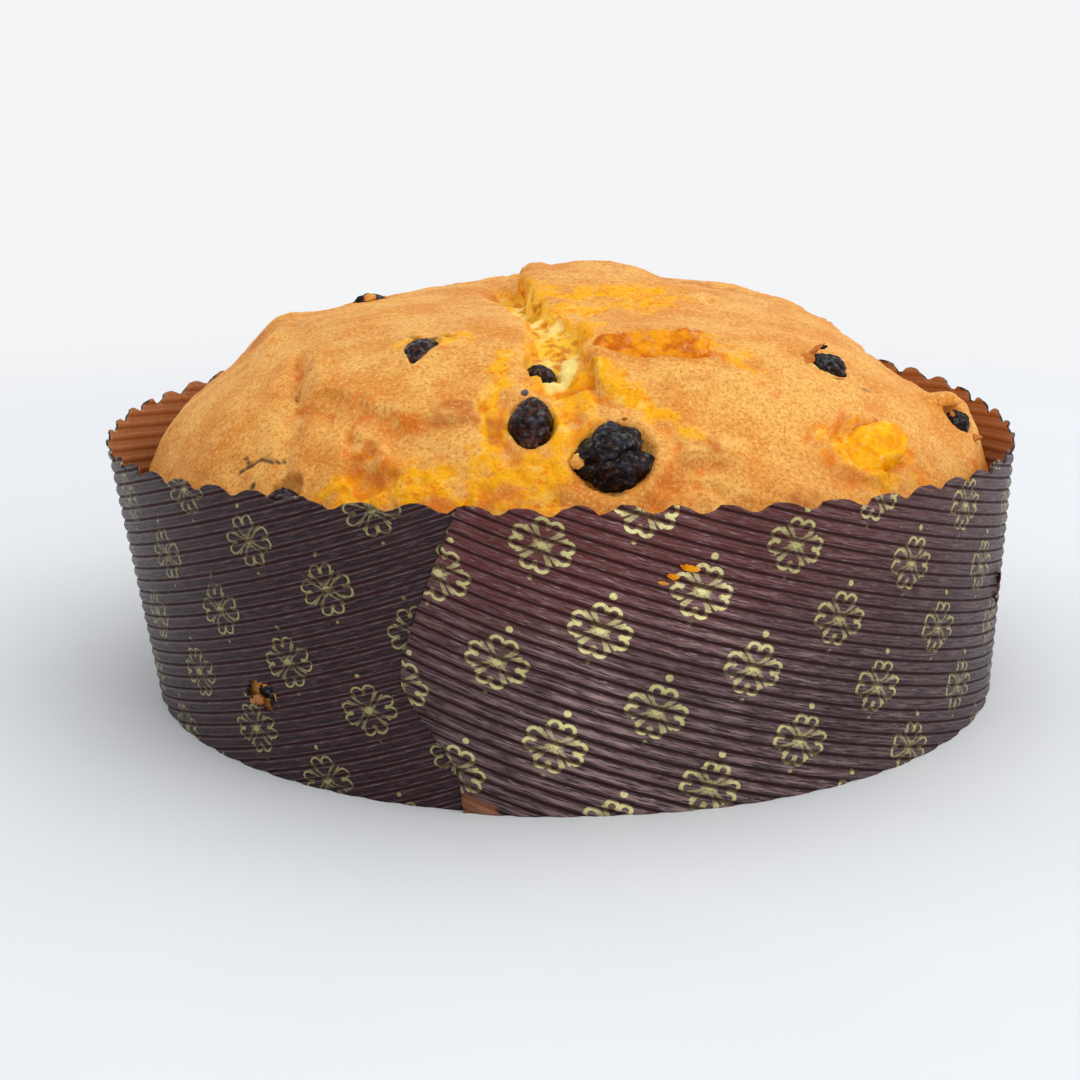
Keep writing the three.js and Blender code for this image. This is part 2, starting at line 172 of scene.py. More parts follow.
class Shop:
    """Blender's modelling tools, each used on one object at a time."""

    @staticmethod
    def clear_selection() -> None:
        """Deselects everything."""
        if bpy.context.object and bpy.context.object.mode != "OBJECT":
            bpy.ops.object.mode_set(mode="OBJECT")
        bpy.ops.object.select_all(action="DESELECT")

    @staticmethod
    def pick(piece: bpy.types.Object) -> None:
        """Selects one piece alone.

        Args:
            piece: the object.
        """
        Shop.clear_selection()
        bpy.context.view_layer.objects.active = piece
        piece.select_set(True)

    @staticmethod
    def take(name: str) -> bpy.types.Object:
        """Names the object that an operator has just added.

        Args:
            name: the piece's name.

        Returns:
            The object.
        """
        piece = bpy.context.object
        piece.name = name
        piece.data.name = name
        return piece

    @staticmethod
    def grid(name: str, columns: int, rows: int) -> bpy.types.Object:
        """Adds a flat grid, stored row by row, whose points are then placed by a formula.

        Args:
            name: the piece's name.
            columns: points along X.
            rows: points along Y.

        Returns:
            The new object.
        """
        Shop.clear_selection()
        bpy.ops.mesh.primitive_grid_add(x_subdivisions=columns - 1, y_subdivisions=rows - 1, size=2)
        return Shop.take(name)

    @staticmethod
    def ball(name: str, subdivisions: int) -> tuple:
        """Adds a unit ball of triangles.

        Args:
            name: the piece's name.
            subdivisions: how fine it is.

        Returns:
            The new object, and the way from its middle to each of its points.
        """
        Shop.clear_selection()
        bpy.ops.mesh.primitive_ico_sphere_add(subdivisions=subdivisions, radius=1)
        piece = Shop.take(name)
        points = Shop.points(piece)
        return piece, points / np.linalg.norm(points, axis=1)[:, None]

    @staticmethod
    def points(piece: bpy.types.Object) -> np.ndarray:
        """The piece's points as an array of shape (n, 3).

        Args:
            piece: the object.

        Returns:
            One row for each point.
        """
        flat = np.empty(len(piece.data.vertices) * 3, dtype=np.float32)
        piece.data.vertices.foreach_get("co", flat)
        return flat.reshape(-1, 3).astype(float)

    @staticmethod
    def place(piece: bpy.types.Object, points_mm: np.ndarray) -> None:
        """Moves the piece's points to new places, in millimetres."""
        piece.data.vertices.foreach_set("co", (points_mm * MM).astype(np.float32).ravel())
        piece.data.update()

    @staticmethod
    def note(piece: bpy.types.Object, name: str, values: np.ndarray) -> None:
        """Stores three numbers on each point under a name, for the materials to read."""
        layer = piece.data.attributes.new(name, "FLOAT_VECTOR", "POINT")
        layer.data.foreach_set("vector", values.astype(np.float32).ravel())

    @staticmethod
    def edit(piece: bpy.types.Object, *steps: Callable[[], object]) -> None:
        """Runs edit mode operators on the whole piece, in order.

        Args:
            piece: the object.
            steps: the operators.
        """
        Shop.pick(piece)
        bpy.ops.object.mode_set(mode="EDIT")
        bpy.ops.mesh.select_all(action="SELECT")
        for step in steps:
            step()
        bpy.ops.object.mode_set(mode="OBJECT")

    @staticmethod
    def weld(piece: bpy.types.Object) -> None:
        """Merges points that coincide, and turns the faces outwards.

        Args:
            piece: the object.
        """
        Shop.edit(
            piece,
            lambda: bpy.ops.mesh.remove_doubles(threshold=1e-6),
            lambda: bpy.ops.mesh.dissolve_degenerate(threshold=1e-7),
            lambda: bpy.ops.mesh.select_all(action="SELECT"),
            lambda: bpy.ops.mesh.normals_make_consistent(inside=False),
        )

    @staticmethod
    def apply(piece: bpy.types.Object, kind: str, **settings: object) -> None:
        """Adds a modifier with its settings and applies it.

        Args:
            piece: the object.
            kind: the modifier's type.
            settings: its properties.
        """
        Shop.pick(piece)
        modifier = piece.modifiers.new(kind.lower(), kind)
        for name, value in settings.items():
            setattr(modifier, name, value)
        bpy.ops.object.modifier_apply(modifier=modifier.name)

    @staticmethod
    def smooth(piece: bpy.types.Object) -> None:
        """Shades the piece smooth."""
        Shop.pick(piece)
        bpy.ops.object.shade_smooth()


class Value:
    """One number in a shader, with Python's own operators."""

    def __init__(self, shader: "Shader", link: object) -> None:
        """Wraps an output socket or a plain number."""
        self.shader = shader
        self.link = link

    def _join(self, operation: str, *others: object, first: object = None) -> "Value":
        """Adds a Math node.

        Args:
            operation: the Math node's operation.
            others: its further inputs.
            first: its first input, if that isn't this value.

        Returns:
            The node's value.
        """
        inputs = [self if first is None else first, *others]
        links = {i: item.link if isinstance(item, Value) else item for i, item in enumerate(inputs)}
        node = self.shader.node("ShaderNodeMath", {"operation": operation}, links)
        return Value(self.shader, node.outputs[0])

    def __add__(self, other: object) -> "Value":
        """self + other"""
        return self._join("ADD", other)

    def __sub__(self, other: object) -> "Value":
        """self - other"""
        return self._join("SUBTRACT", other)

    def __mul__(self, other: object) -> "Value":
        """self * other"""
        return self._join("MULTIPLY", other)

    def __truediv__(self, other: object) -> "Value":
        """self / other"""
        return self._join("DIVIDE", other)

    def __rsub__(self, other: object) -> "Value":
        """other - self"""
        return self._join("SUBTRACT", self, first=other)

    def __rtruediv__(self, other: object) -> "Value":
        """other / self"""
        return self._join("DIVIDE", self, first=other)

    def __abs__(self) -> "Value":
        """abs(self)"""
        return self._join("ABSOLUTE")

    __radd__ = __add__
    __rmul__ = __mul__

    def round(self) -> "Value":
        """The nearest whole number."""
        return self._join("ROUND")

    def root(self) -> "Value":
        """The square root."""
        return self._join("SQRT")

    def cosine(self) -> "Value":
        """The cosine of an angle in radians."""
        return self._join("COSINE")

    def least(self, other: object) -> "Value":
        """The smaller of two values."""
        return self._join("MINIMUM", other)

    def most(self, other: object) -> "Value":
        """The larger of two values."""
        return self._join("MAXIMUM", other)

    def ramp(self, low: float, high: float) -> "Value":
        """Eases from 0 at low to 1 at high, or the other way round if low is the larger.

        Args:
            low: where the easing starts.
            high: where it ends.

        Returns:
            The eased value.
        """
        flip = low > high
        settings = {"interpolation_type": "SMOOTHSTEP"}
        links = {0: self.link, 1: min(low, high), 2: max(low, high), 3: float(flip), 4: float(not flip)}
        return Value(self.shader, self.shader.node("ShaderNodeMapRange", settings, links).outputs[0])


class Nodes:
    """The nodes of a material or a world."""

    def __init__(self, tree: bpy.types.NodeTree) -> None:
        """Wraps a node tree."""
        self.tree = tree

    def node(self, kind: str, settings: dict, inputs: dict) -> bpy.types.Node:
        """Adds any node.

        Args:
            kind: the node's type.
            settings: its properties, set first.
            inputs: values or links for its sockets, by name or number.

        Returns:
            The new node.
        """
        node = self.tree.nodes.new(kind)
        for name, value in settings.items():
            setattr(node, name, value)
        for key, value in inputs.items():
            self.feed(node.inputs[key], value)
        return node

    def feed(self, socket: bpy.types.NodeSocket, value: object) -> None:
        """Sets a socket, or links it to a value or to another socket.

        Args:
            socket: the socket.
            value: a number, a colour, a value or a socket.
        """
        if isinstance(value, Value):
            value = value.link
        if isinstance(value, bpy.types.NodeSocket):
            self.tree.links.new(value, socket)
        else:
            socket.default_value = value


class Shader(Nodes):
    """A material with one principled surface."""

    def __init__(self, name: str) -> None:
        """Starts the material under its name.

        Args:
            name: the material's name.
        """
        self.material = bpy.data.materials.new(name)
        self.material.use_nodes = True
        super().__init__(self.material.node_tree)
        self.tree.nodes.clear()
        self.surface = self.node("ShaderNodeBsdfPrincipled", {}, {})
        self.node("ShaderNodeOutputMaterial", {}, {0: self.surface.outputs[0]})
        self.coordinates = self.node("ShaderNodeTexCoord", {}, {}).outputs["Object"]

    def set(self, **sockets: object) -> None:
        """Sets the surface's sockets, named with underscores for spaces."""
        for name, value in sockets.items():
            self.feed(self.surface.inputs[name.replace("_", " ")], value)

    def noise(self, size: float, detail: float = 2.0, rough: float = 0.5, stretch: Optional[tuple] = None,
              place: Optional[bpy.types.NodeSocket] = None) -> Value:
        """Noise from 0 to 1 over the piece.

        Args:
            size: how far apart its features are, in millimetres.
            detail: how many finer layers it has.
            rough: how strong those are.
            stretch: how many times finer it is along X, Y and Z.
            place: coordinates in millimetres, if they aren't the piece's own.

        Returns:
            The noise.
        """
        scale = 1 / size if place else 1 / (size * MM)
        place = place or self.coordinates
        if stretch:
            place = self.node("ShaderNodeMapping", {}, {0: place, 3: stretch}).outputs[0]
        inputs = {"Vector": place, "Scale": scale, "Detail": detail, "Roughness": rough}
        return Value(self, self.node("ShaderNodeTexNoise", {}, inputs).outputs[0])

    def cells(self, size_mm: float) -> Value:
        """Distance from the nearest of points scattered about a size apart, in cells."""
        inputs = {"Vector": self.coordinates, "Scale": 1 / (size_mm * MM)}
        return Value(self, self.node("ShaderNodeTexVoronoi", {"feature": "F1"}, inputs).outputs[0])

    def attribute(self, name: str) -> tuple:
        """The three numbers stored on the piece's points under a name.

        Args:
            name: the name.

        Returns:
            Three values.
        """
        vector = self.node("ShaderNodeAttribute", {"attribute_name": name}, {}).outputs["Vector"]
        split = self.node("ShaderNodeSeparateXYZ", {}, {0: vector})
        return tuple(Value(self, output) for output in split.outputs)

    def mix(self, share: object, low: object, high: object) -> bpy.types.NodeSocket:
        """Blends two colours or links, all low at share 0 and all high at share 1."""
        return self.node("ShaderNodeMix", {"data_type": "RGBA"}, {0: share, 6: low, 7: high}).outputs[2]

    def bump(self, height: Value, depth_mm: float, strength: float = 1.0) -> None:
        """Raises the surface by a height from 0 to 1 times a depth."""
        inputs = {"Strength": strength, "Distance": depth_mm * MM, "Height": height}
        self.set(Normal=self.node("ShaderNodeBump", {}, inputs).outputs[0])


def srgb(red: int, green: int, blue: int) -> tuple:
    """A colour as it looks on a screen, from 0 to 255, as the shader's linear numbers.

    Args:
        red: its red, from 0 to 255.
        green: its green.
        blue: its blue.

    Returns:
        Red, green, blue and an alpha of 1.
    """
    levels = [part / 255 for part in (red, green, blue)]
    linear = [level / 12.92 if level <= 0.04 else ((level + 0.055) / 1.055) ** 2.4 for level in levels]
    return (*linear, 1.0)


@dataclass(frozen=True)
class Ornament:
    """The gold flower: four curled petals round a star, with a dot above and below. Millimetres."""

    curl_middle: tuple = (4.75, 1.42)
    curl_radius: float = 1.25
    stroke: float = 0.24
    bold_stroke: float = 0.2
    side: tuple = ((1.3, 0.75), (3.0, 1.9), (4.6, 2.66))
    ray: tuple = ((0.5, 0.1), (1.7, 0.42))
    eye: float = 4.2
    eye_radius: float = 0.5
    star_radius: float = 0.8
    stamen_start: float = 3.1
    stamen_end: float = 5.1
    stamen_turn: float = 8.0
    dot_above: float = 7.6
    dot_below: float = -7.1
    squash: float = 1.13

    def mask(self, x: Value, y: Value, bold: Value) -> Value:
        """Draws the flower.

        Args:
            x: place across the flower, in millimetres.
            y: place up the flower, in millimetres.
            bold: 0 for thin strokes, 1 for thick ones.

        Returns:
            1 on the gold, 0 off it.
        """
        tall = y * self.squash
        far = abs(x).most(abs(tall))
        near = abs(x).least(abs(tall))
        half = bold * self.bold_stroke + self.stroke
        curl = abs(self._away(far, near, self.curl_middle) - self.curl_radius)
        gold = (half - curl).ramp(-0.11, 0.11) * (far - near * 0.25).ramp(3.85, 4.1)
        side = self._stroke(far, near, self.side[0], self.side[1])
        side = side.least(self._stroke(far, near, self.side[1], self.side[2]))
        gold = gold.most((half * 0.85 - side).ramp(-0.11, 0.11) * 0.9)
        eye = self._away(far, near, (self.eye, 0.0))
        gold = gold.most(eye.ramp(self.eye_radius + 0.12, self.eye_radius - 0.12))
        turn = math.radians(45 - self.stamen_turn)
        start = (self.stamen_start * math.cos(turn), self.stamen_start * math.sin(turn))
        end = (self.stamen_end * math.cos(turn), self.stamen_end * math.sin(turn))
        gold = gold.most((half * 0.8 - self._stroke(far, near, start, end)).ramp(-0.1, 0.1) * 0.85)
        star = (x * x * 0.6 + y * y).root() - self.star_radius
        gold = gold.most(star.ramp(0.2, -0.2))
        gold = gold.most((half * 0.7 - self._stroke(far, near, *self.ray)).ramp(-0.1, 0.1) * 0.7)
        above = (bold * 0.3 + 0.5 - self._away(x, y, (0.0, self.dot_above))).ramp(-0.12, 0.12)
        below = (bold * 0.2 + 0.34 - self._away(x, y, (0.0, self.dot_below))).ramp(-0.12, 0.12) * 0.7
        return gold.most(above).most(below)

    @staticmethod
    def _away(x: Value, y: Value, place: tuple) -> Value:
        """Distance to a place."""
        dx, dy = x - place[0], y - place[1]
        return (dx * dx + dy * dy).root()

    @staticmethod
    def _stroke(far: Value, near: Value, start: tuple, end: tuple) -> Value:
        """Distance to a straight stroke from start to end.

        Args:
            far: the larger of the distances across and up the flower.
            near: the smaller of the two.
            start: where the stroke starts.
            end: where it ends.

        Returns:
            The distance.
        """
        dx, dy = end[0] - start[0], end[1] - start[1]
        share = (((far - start[0]) * dx + (near - start[1]) * dy) / (dx * dx + dy * dy)).most(0.0).least(1.0)
        away_x = far - start[0] - share * dx
        away_y = near - start[1] - share * dy
        return (away_x * away_x + away_y * away_y).root()


@dataclass(frozen=True)
class Lattice:
    """How the flowers follow each other on the flat strip: a place and two steps, in millimetres."""

    origin: tuple
    a: tuple
    b: tuple

    def steps(self, x: np.ndarray, y: np.ndarray) -> np.ndarray:
        """How many steps of each kind lie between the origin and each place along and across the ribs."""
        to_steps = np.linalg.inv(np.array([self.a, self.b]).T)
        return (to_steps @ np.stack([x - self.origin[0], y - self.origin[1]])).T

    def along(self) -> tuple:
        """The two steps measured in the flower's own directions: each (across, up).

        Returns:
            Two pairs of millimetres.
        """
        up = np.array(self.a) - np.array(self.b)
        up = up / np.linalg.norm(up)
        across = np.array([up[1], -up[0]])
        return tuple((float(np.dot(step, across)), float(np.dot(step, up))) for step in (self.a, self.b))


PRINT_RIGHT = Lattice((-317.43, 831.43), (16.85, 13.50), (15.97, -13.17))
PRINT_LEFT = Lattice((268.07, 843.52), (17.89, 12.87), (15.14, -13.04))


@dataclass(frozen=True)
class PrintedPaper:
    """Dark aubergine brown paper with gold flowers on the outside of the case."""

    dark: tuple = srgb(26, 10, 13)
    light: tuple = srgb(56, 30, 34)
    warm: tuple = srgb(98, 34, 26)
    shine: tuple = srgb(176, 142, 138)
    # Painted reflection: the colour of the rib slopes either side of each valley.
    lip: tuple = srgb(104, 88, 92)
    glint: tuple = srgb(172, 158, 174)
    shaded_valley: tuple = srgb(50, 18, 19)
    shaded_gold: tuple = srgb(158, 150, 98)
    gold: tuple = srgb(212, 200, 120)
    highlight_gold: tuple = srgb(244, 234, 168)
    bare: tuple = srgb(158, 100, 64)
    ornament: Ornament = Ornament()

    def make(self) -> bpy.types.Material:
        """Builds the material. It reads the print's steps, the rib's phase and the painted sheen from the
        points.

        Returns:
            The material.
        """
        shader = Shader("printed_paper")
        i, j, phase = shader.attribute("print")
        warmth, bare, sheen = shader.attribute("tone")
        first, second = PRINT_RIGHT.along()
        di, dj = i - i.round(), j - j.round()
        x = di * first[0] + dj * second[0]
        y = di * first[1] + dj * second[1]
        rib = abs(phase - phase.round()) * 2 + shader.noise(5.0, 2, 0.5) * 0.2 - 0.1
        shaded_valley = rib.ramp(0.68, 0.92)
        # Where the painted reflection lies, on both slopes of each valley.
        lip = rib.ramp(0.4, 0.6) * rib.ramp(0.84, 0.68)
        across = i * first[0] + j * second[0]
        flow = shader.node("ShaderNodeCombineXYZ", {}, {0: across, 1: phase * RIB_PITCH}).outputs[0]
        streak = shader.noise(1.0, 3, 0.6, stretch=(0.16, 2.2, 1.0), place=flow)
        thread = shader.noise(1.0, 2, 0.6, stretch=(0.3, 4.0, 1.0), place=flow)
        broken = shader.noise(0.9, 3, 0.6).ramp(0.3, 0.5) * 0.45 + 0.55
        # Painted shade: the gold fades into each valley, more where the painted sheen is.
        valley_gold_shade = rib.ramp(0.5, 0.74)
        reach = (x * x + y * y).root()
        rays = reach.ramp(1.1, 1.8) * reach.ramp(4.6, 3.4)
        # Real wear in broken patches and dimmer rays, times the painted shade in the valleys.
        wear_and_valley_shade = (1 - valley_gold_shade * (sheen * 0.25 + 0.65)) * broken * (1 - rays * 0.45)
        # The strokes are drawn bolder where the painted sheen is.
        gold = self.ornament.mask(x, y, sheen) * wear_and_valley_shade
        # Painted sheen: the print is lightened on the crests, most at the front, in broad patches.
        sheen = sheen * (shader.noise(22.0, 2, 0.5).ramp(0.34, 0.6) * 0.6 + 0.4)
        base = shader.mix(streak.ramp(0.38, 0.62), self.dark, self.light)
        crest = rib.ramp(0.85, 0.1)
        base = shader.mix(sheen * streak.ramp(0.3, 0.7) * crest, base, self.shine)
        base = shader.mix(warmth, base, self.warm)
        # Painted reflection on the valley slopes, strongest away from the front.
        base = shader.mix(lip * (0.6 - sheen * 0.5) * thread.ramp(0.3, 0.6), base, self.lip)
        # Painted glints along the threads, away from the valleys, stronger with the painted sheen.
        base = shader.mix(thread.ramp(0.56, 0.7) * (1 - shaded_valley) * (sheen * 0.6 + 0.16), base, self.glint)
        # Painted shade in the rib valleys.
        base = shader.mix(shaded_valley * 0.9, base, self.shaded_valley)
        base = shader.mix(bare * (streak * 1.2).least(1.0), base, self.bare)
        # Painted highlight on the gold of the crests and threads, and painted shade on the gold away from
        # the front.
        gold_highlight = (thread.ramp(0.4, 0.6) * 0.5 + crest * 0.6).least(1.0)
        foil = shader.mix(gold_highlight, self.gold, self.highlight_gold)
        foil = shader.mix(sheen, self.shaded_gold, foil)
        shader.set(Base_Color=shader.mix(gold, base, foil), Metallic=gold * 0.15)
        rough = thread.ramp(0.3, 0.7) * 0.25 + 0.34 + shaded_valley * 0.3
        shader.set(Roughness=rough, Specular_IOR_Level=0.2, Coat_Roughness=0.2)
        shader.set(Coat_Weight=streak.ramp(0.5, 0.68) * (1 - shaded_valley) * (sheen * 0.5 + 0.12))
        shader.bump(streak * 0.5 + thread * 0.5 - shaded_valley * 0.4, 0.22, 0.9)
        return shader.material


@dataclass(frozen=True)
class KraftPaper:
    """Plain brown paper on the inside of the case, striped where the ribs show through."""

    light: tuple = srgb(184, 122, 74)
    dark: tuple = srgb(132, 82, 46)
    stripes: bool = True

    def make(self) -> bpy.types.Material:
        """Builds the material. It reads the ribs from the points where it has stripes.

        Returns:
            The material.
        """
        shader = Shader("kraft_paper_ribbed" if self.stripes else "kraft_paper_plain")
        fibre = shader.noise(1.2, 4, 0.6)
        share = fibre.ramp(0.3, 0.7) * 0.4
        if self.stripes:
            phase = shader.attribute("print")[2]
            share = share + (phase * 4 * math.pi).cosine().ramp(0.2, -0.8) * 0.35
        shader.set(Base_Color=shader.mix(share, self.light, self.dark))
        shader.set(Roughness=0.82, Specular_IOR_Level=0.3)
        shader.bump(fibre, 0.08, 0.5)
        return shader.material


@dataclass(frozen=True)
class Crust:
    """Golden baked crust, with yellow crumb where it is torn. The points say how strong each trait is."""

    tan: tuple = srgb(226, 148, 60)
    pale: tuple = srgb(242, 182, 94)
    flour: tuple = srgb(252, 212, 136)
    speck: tuple = srgb(198, 108, 32)
    brown: tuple = srgb(182, 88, 32)
    orange: tuple = srgb(230, 118, 8)
    yellow: tuple = srgb(254, 178, 2)
    butter: tuple = srgb(255, 208, 96)
    crumb: tuple = srgb(255, 200, 52)
    cream: tuple = srgb(255, 232, 146)
    crumb_hollow_shade: tuple = srgb(214, 130, 16)
    dark: tuple = srgb(58, 42, 38)

    def make(self) -> bpy.types.Material:
        """Builds the material.

        Returns:
            The material.
        """
        shader = Shader("baked_crust")
        torn, brown, yellow = shader.attribute("bake")
        # orange holds glazed crust and painted shade; pale holds pale crust and painted highlight.
        orange, pale, dark = shader.attribute("tint")
        grain = shader.noise(0.8, 2, 0.75)
        patch = shader.noise(12.0, 4, 0.55)
        spots = shader.noise(3.2, 4, 0.64)
        spread = (spots - 0.5) * 2.4
        mild = (spots - 0.5) * 1.3 + (patch - 0.5) * 0.6
        colour = shader.mix((patch.ramp(0.34, 0.66) + pale * 0.5).least(1.0), self.tan, self.pale)
        colour = shader.mix((spots + patch * 0.3).ramp(0.7, 0.86) * 0.5, colour, self.orange)
        veins = shader.noise(2.4, 4, 0.66)
        gilt = shader.mix(veins.ramp(0.53, 0.64) * 0.75, self.yellow, self.orange)
        gilt = shader.mix(shader.noise(3.4, 3, 0.6).ramp(0.52, 0.66) * 0.7, gilt, self.butter)
        colour = shader.mix((yellow + mild + (veins - 0.5) * 0.9).ramp(0.2, 0.95), colour, gilt)
        colour = shader.mix((orange + spread).ramp(0.3, 1.25) * 0.8, colour, self.orange)
        colour = shader.mix((brown + spread).ramp(0.35, 1.4) * 0.75, colour, self.brown)
        colour = shader.mix(grain.ramp(0.52, 0.34) * (0.65 - yellow * 0.4), colour, self.speck)
        colour = shader.mix(grain.ramp(0.56, 0.7) * (0.6 - yellow * 0.4), colour, self.flour)
        open_crumb = shader.noise(3.0, 3, 0.6)
        # Painted shade in the hollows of the open crumb.
        crumb = shader.mix(open_crumb.ramp(0.36, 0.56), self.crumb_hollow_shade, self.crumb)
        crumb = shader.mix(shader.noise(7.0, 3, 0.55).ramp(0.5, 0.62) * 0.85, crumb, self.cream)
        colour = shader.mix(torn, colour, crumb)
        colour = shader.mix(dark, colour, self.dark)
        shader.set(Base_Color=colour, Subsurface_Weight=0.12, Subsurface_Radius=(1.0, 0.5, 0.15))
        shader.set(Subsurface_Scale=0.0015, Specular_IOR_Level=0.12)
        shader.set(Roughness=(shader.noise(2.0, 3, 0.6) * 0.3 + 0.46 - orange * 0.22).most(0.22))
        holes = shader.cells(2.2).ramp(0.1, 0.6)
        closed = (grain * 0.3 + spots * 0.6) * (1 - torn)
        shader.bump(closed + (holes * 0.4 + open_crumb * 0.6) * torn, 0.6, 0.8)
        return shader.material


@dataclass(frozen=True)
class RaisinSkin:
    """Wrinkled, nearly black skin, glossy where it is stretched."""

    name: str
    dark: tuple = srgb(10, 6, 7)
    brown: tuple = srgb(52, 26, 18)
    stuck: tuple = srgb(196, 112, 44)
    gloss: float = 0.9
    bloom_and_sheen: tuple = srgb(66, 66, 80)

    def make(self) -> bpy.types.Material:
        """Builds the material.

        Returns:
            The material.
        """
        shader = Shader(self.name)
        tone = shader.noise(1.6, 4, 0.6)
        colour = shader.mix(tone.ramp(0.46, 0.7), self.dark, self.brown)
        # Grey-blue bloom and painted sheen, in patches.
        colour = shader.mix(shader.noise(4.2, 3, 0.6).ramp(0.52, 0.68) * 0.6, colour, self.bloom_and_sheen)
        colour = shader.mix(shader.noise(3.1, 3, 0.6).ramp(0.69, 0.74) * 0.8, colour, self.stuck)
        shader.set(Base_Color=colour, Specular_IOR_Level=0.12)
        shader.set(Roughness=shader.noise(1.2, 3, 0.6).ramp(0.35, 0.65) * 0.35 + 0.3)
        shine = shader.noise(1.1, 3, 0.6).ramp(0.53, 0.6) * self.gloss
        shader.set(Coat_Weight=shine, Coat_Roughness=0.1)
        shader.bump(shader.noise(0.9, 3, 0.65), 0.3, 0.9)
        return shader.material


@dataclass(frozen=True)
class CandiedPeel:
    """Glassy candied peel."""

    name: str
    bright: tuple
    deep: tuple
    frost: float = 0.5

    def make(self) -> bpy.types.Material:
        """Builds the material.

        Returns:
            The material.
        """
        shader = Shader(self.name)
        tone = shader.noise(3.2, 4, 0.6)
        colour = shader.mix(tone.ramp(0.38, 0.62), self.bright, self.deep)
        sugar = shader.noise(0.9, 3, 0.7).ramp(0.6, 0.7)
        colour = shader.mix(sugar * self.frost, colour, srgb(255, 226, 130))
        shader.set(Base_Color=colour, Coat_Weight=shader.noise(1.7, 2, 0.5).ramp(0.55, 0.62) * 0.8)
        shader.set(Roughness=shader.noise(0.9, 3, 0.6).ramp(0.3, 0.75) * 0.35 + 0.2, Specular_IOR_Level=0.08)
        shader.set(Coat_Roughness=0.1, Subsurface_Weight=0.2, Subsurface_Radius=(1.0, 0.5, 0.1))
        shader.set(Subsurface_Scale=0.0015)
        shader.bump(shader.noise(1.4, 4, 0.6), 0.5, 0.8)
        return shader.material


SMALL_FINISHES = (
    RaisinSkin("raisin_skin"),
    RaisinSkin("raisin_skin_brown", srgb(24, 12, 10), srgb(92, 52, 38)),
    CandiedPeel("orange_peel", srgb(246, 158, 10), srgb(208, 104, 2)),
    CandiedPeel("lemon_peel", srgb(255, 190, 4), srgb(244, 152, 2), 0.25),
    RaisinSkin("maroon_paper", srgb(60, 18, 18), srgb(120, 52, 40), srgb(150, 80, 60), 0.2),
    RaisinSkin("toasted_flake", srgb(206, 122, 44), srgb(140, 70, 26), srgb(232, 160, 84), 0.1),
    RaisinSkin("lilac_skin", srgb(108, 98, 102), srgb(160, 144, 144), srgb(190, 160, 150), 0.5),
    KraftPaper(stripes=False),
)


def settle(piece: bpy.types.Object, slot: str, node: Optional[str], *materials: bpy.types.Material) -> None:
    """Gives a finished piece its materials and hands it to the frame.

    Args:
        piece: the object.
        slot: the record's material slot; not used.
        node: the CAD node that it stands for, if there is one.
        materials: its materials, in slot order.
    """
    for index, material in enumerate(materials):
        if index < len(piece.data.materials):
            piece.data.materials[index] = material
        else:
            piece.data.materials.append(material)
    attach(piece, BODY)
    if node:
        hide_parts(node)
    LOG.info("%s: %d faces", piece.name, len(piece.data.polygons))


class Stuff(Enum):
    """What a small piece is made of: its material's name and its slot in the record."""

    FRUIT = ("raisin_skin", "raisin")
    BROWN_FRUIT = ("raisin_skin_brown", "raisin")
    LILAC = ("lilac_skin", "raisin")
    PAPER = ("kraft_paper_plain", "case_paper")
    MAROON = ("maroon_paper", "case_paper")
    CRUMB = ("baked_crust", "crust")
    TOAST = ("toasted_flake", "crust")
    PEEL = ("orange_peel", "peel")
    LEMON = ("lemon_peel", "peel")

    @property
    def material(self) -> bpy.types.Material:
        """The material, which has to be there already."""
        return bpy.data.materials[self.value[0]]

    def dress(self, piece: bpy.types.Object, node: Optional[str] = None) -> None:
        """Settles a piece with this material, over a CAD node if it stands for one."""
        settle(piece, self.value[1], node, self.material)


@dataclass(frozen=True)
class Hole:
    """A torn hole in the case: its place and half sizes, in degrees and millimetres."""

    angle: float
    z: float
    half_width: float
    half_height: float

    def reach(self, angle: np.ndarray, z: np.ndarray, radius: float) -> np.ndarray:
        """How far points of a wall are from the middle, 1 on the edge."""
        around = (angle - self.angle + 180) % 360 - 180
        return np.hypot(np.radians(around) * radius / self.half_width, (z - self.z) / self.half_height)


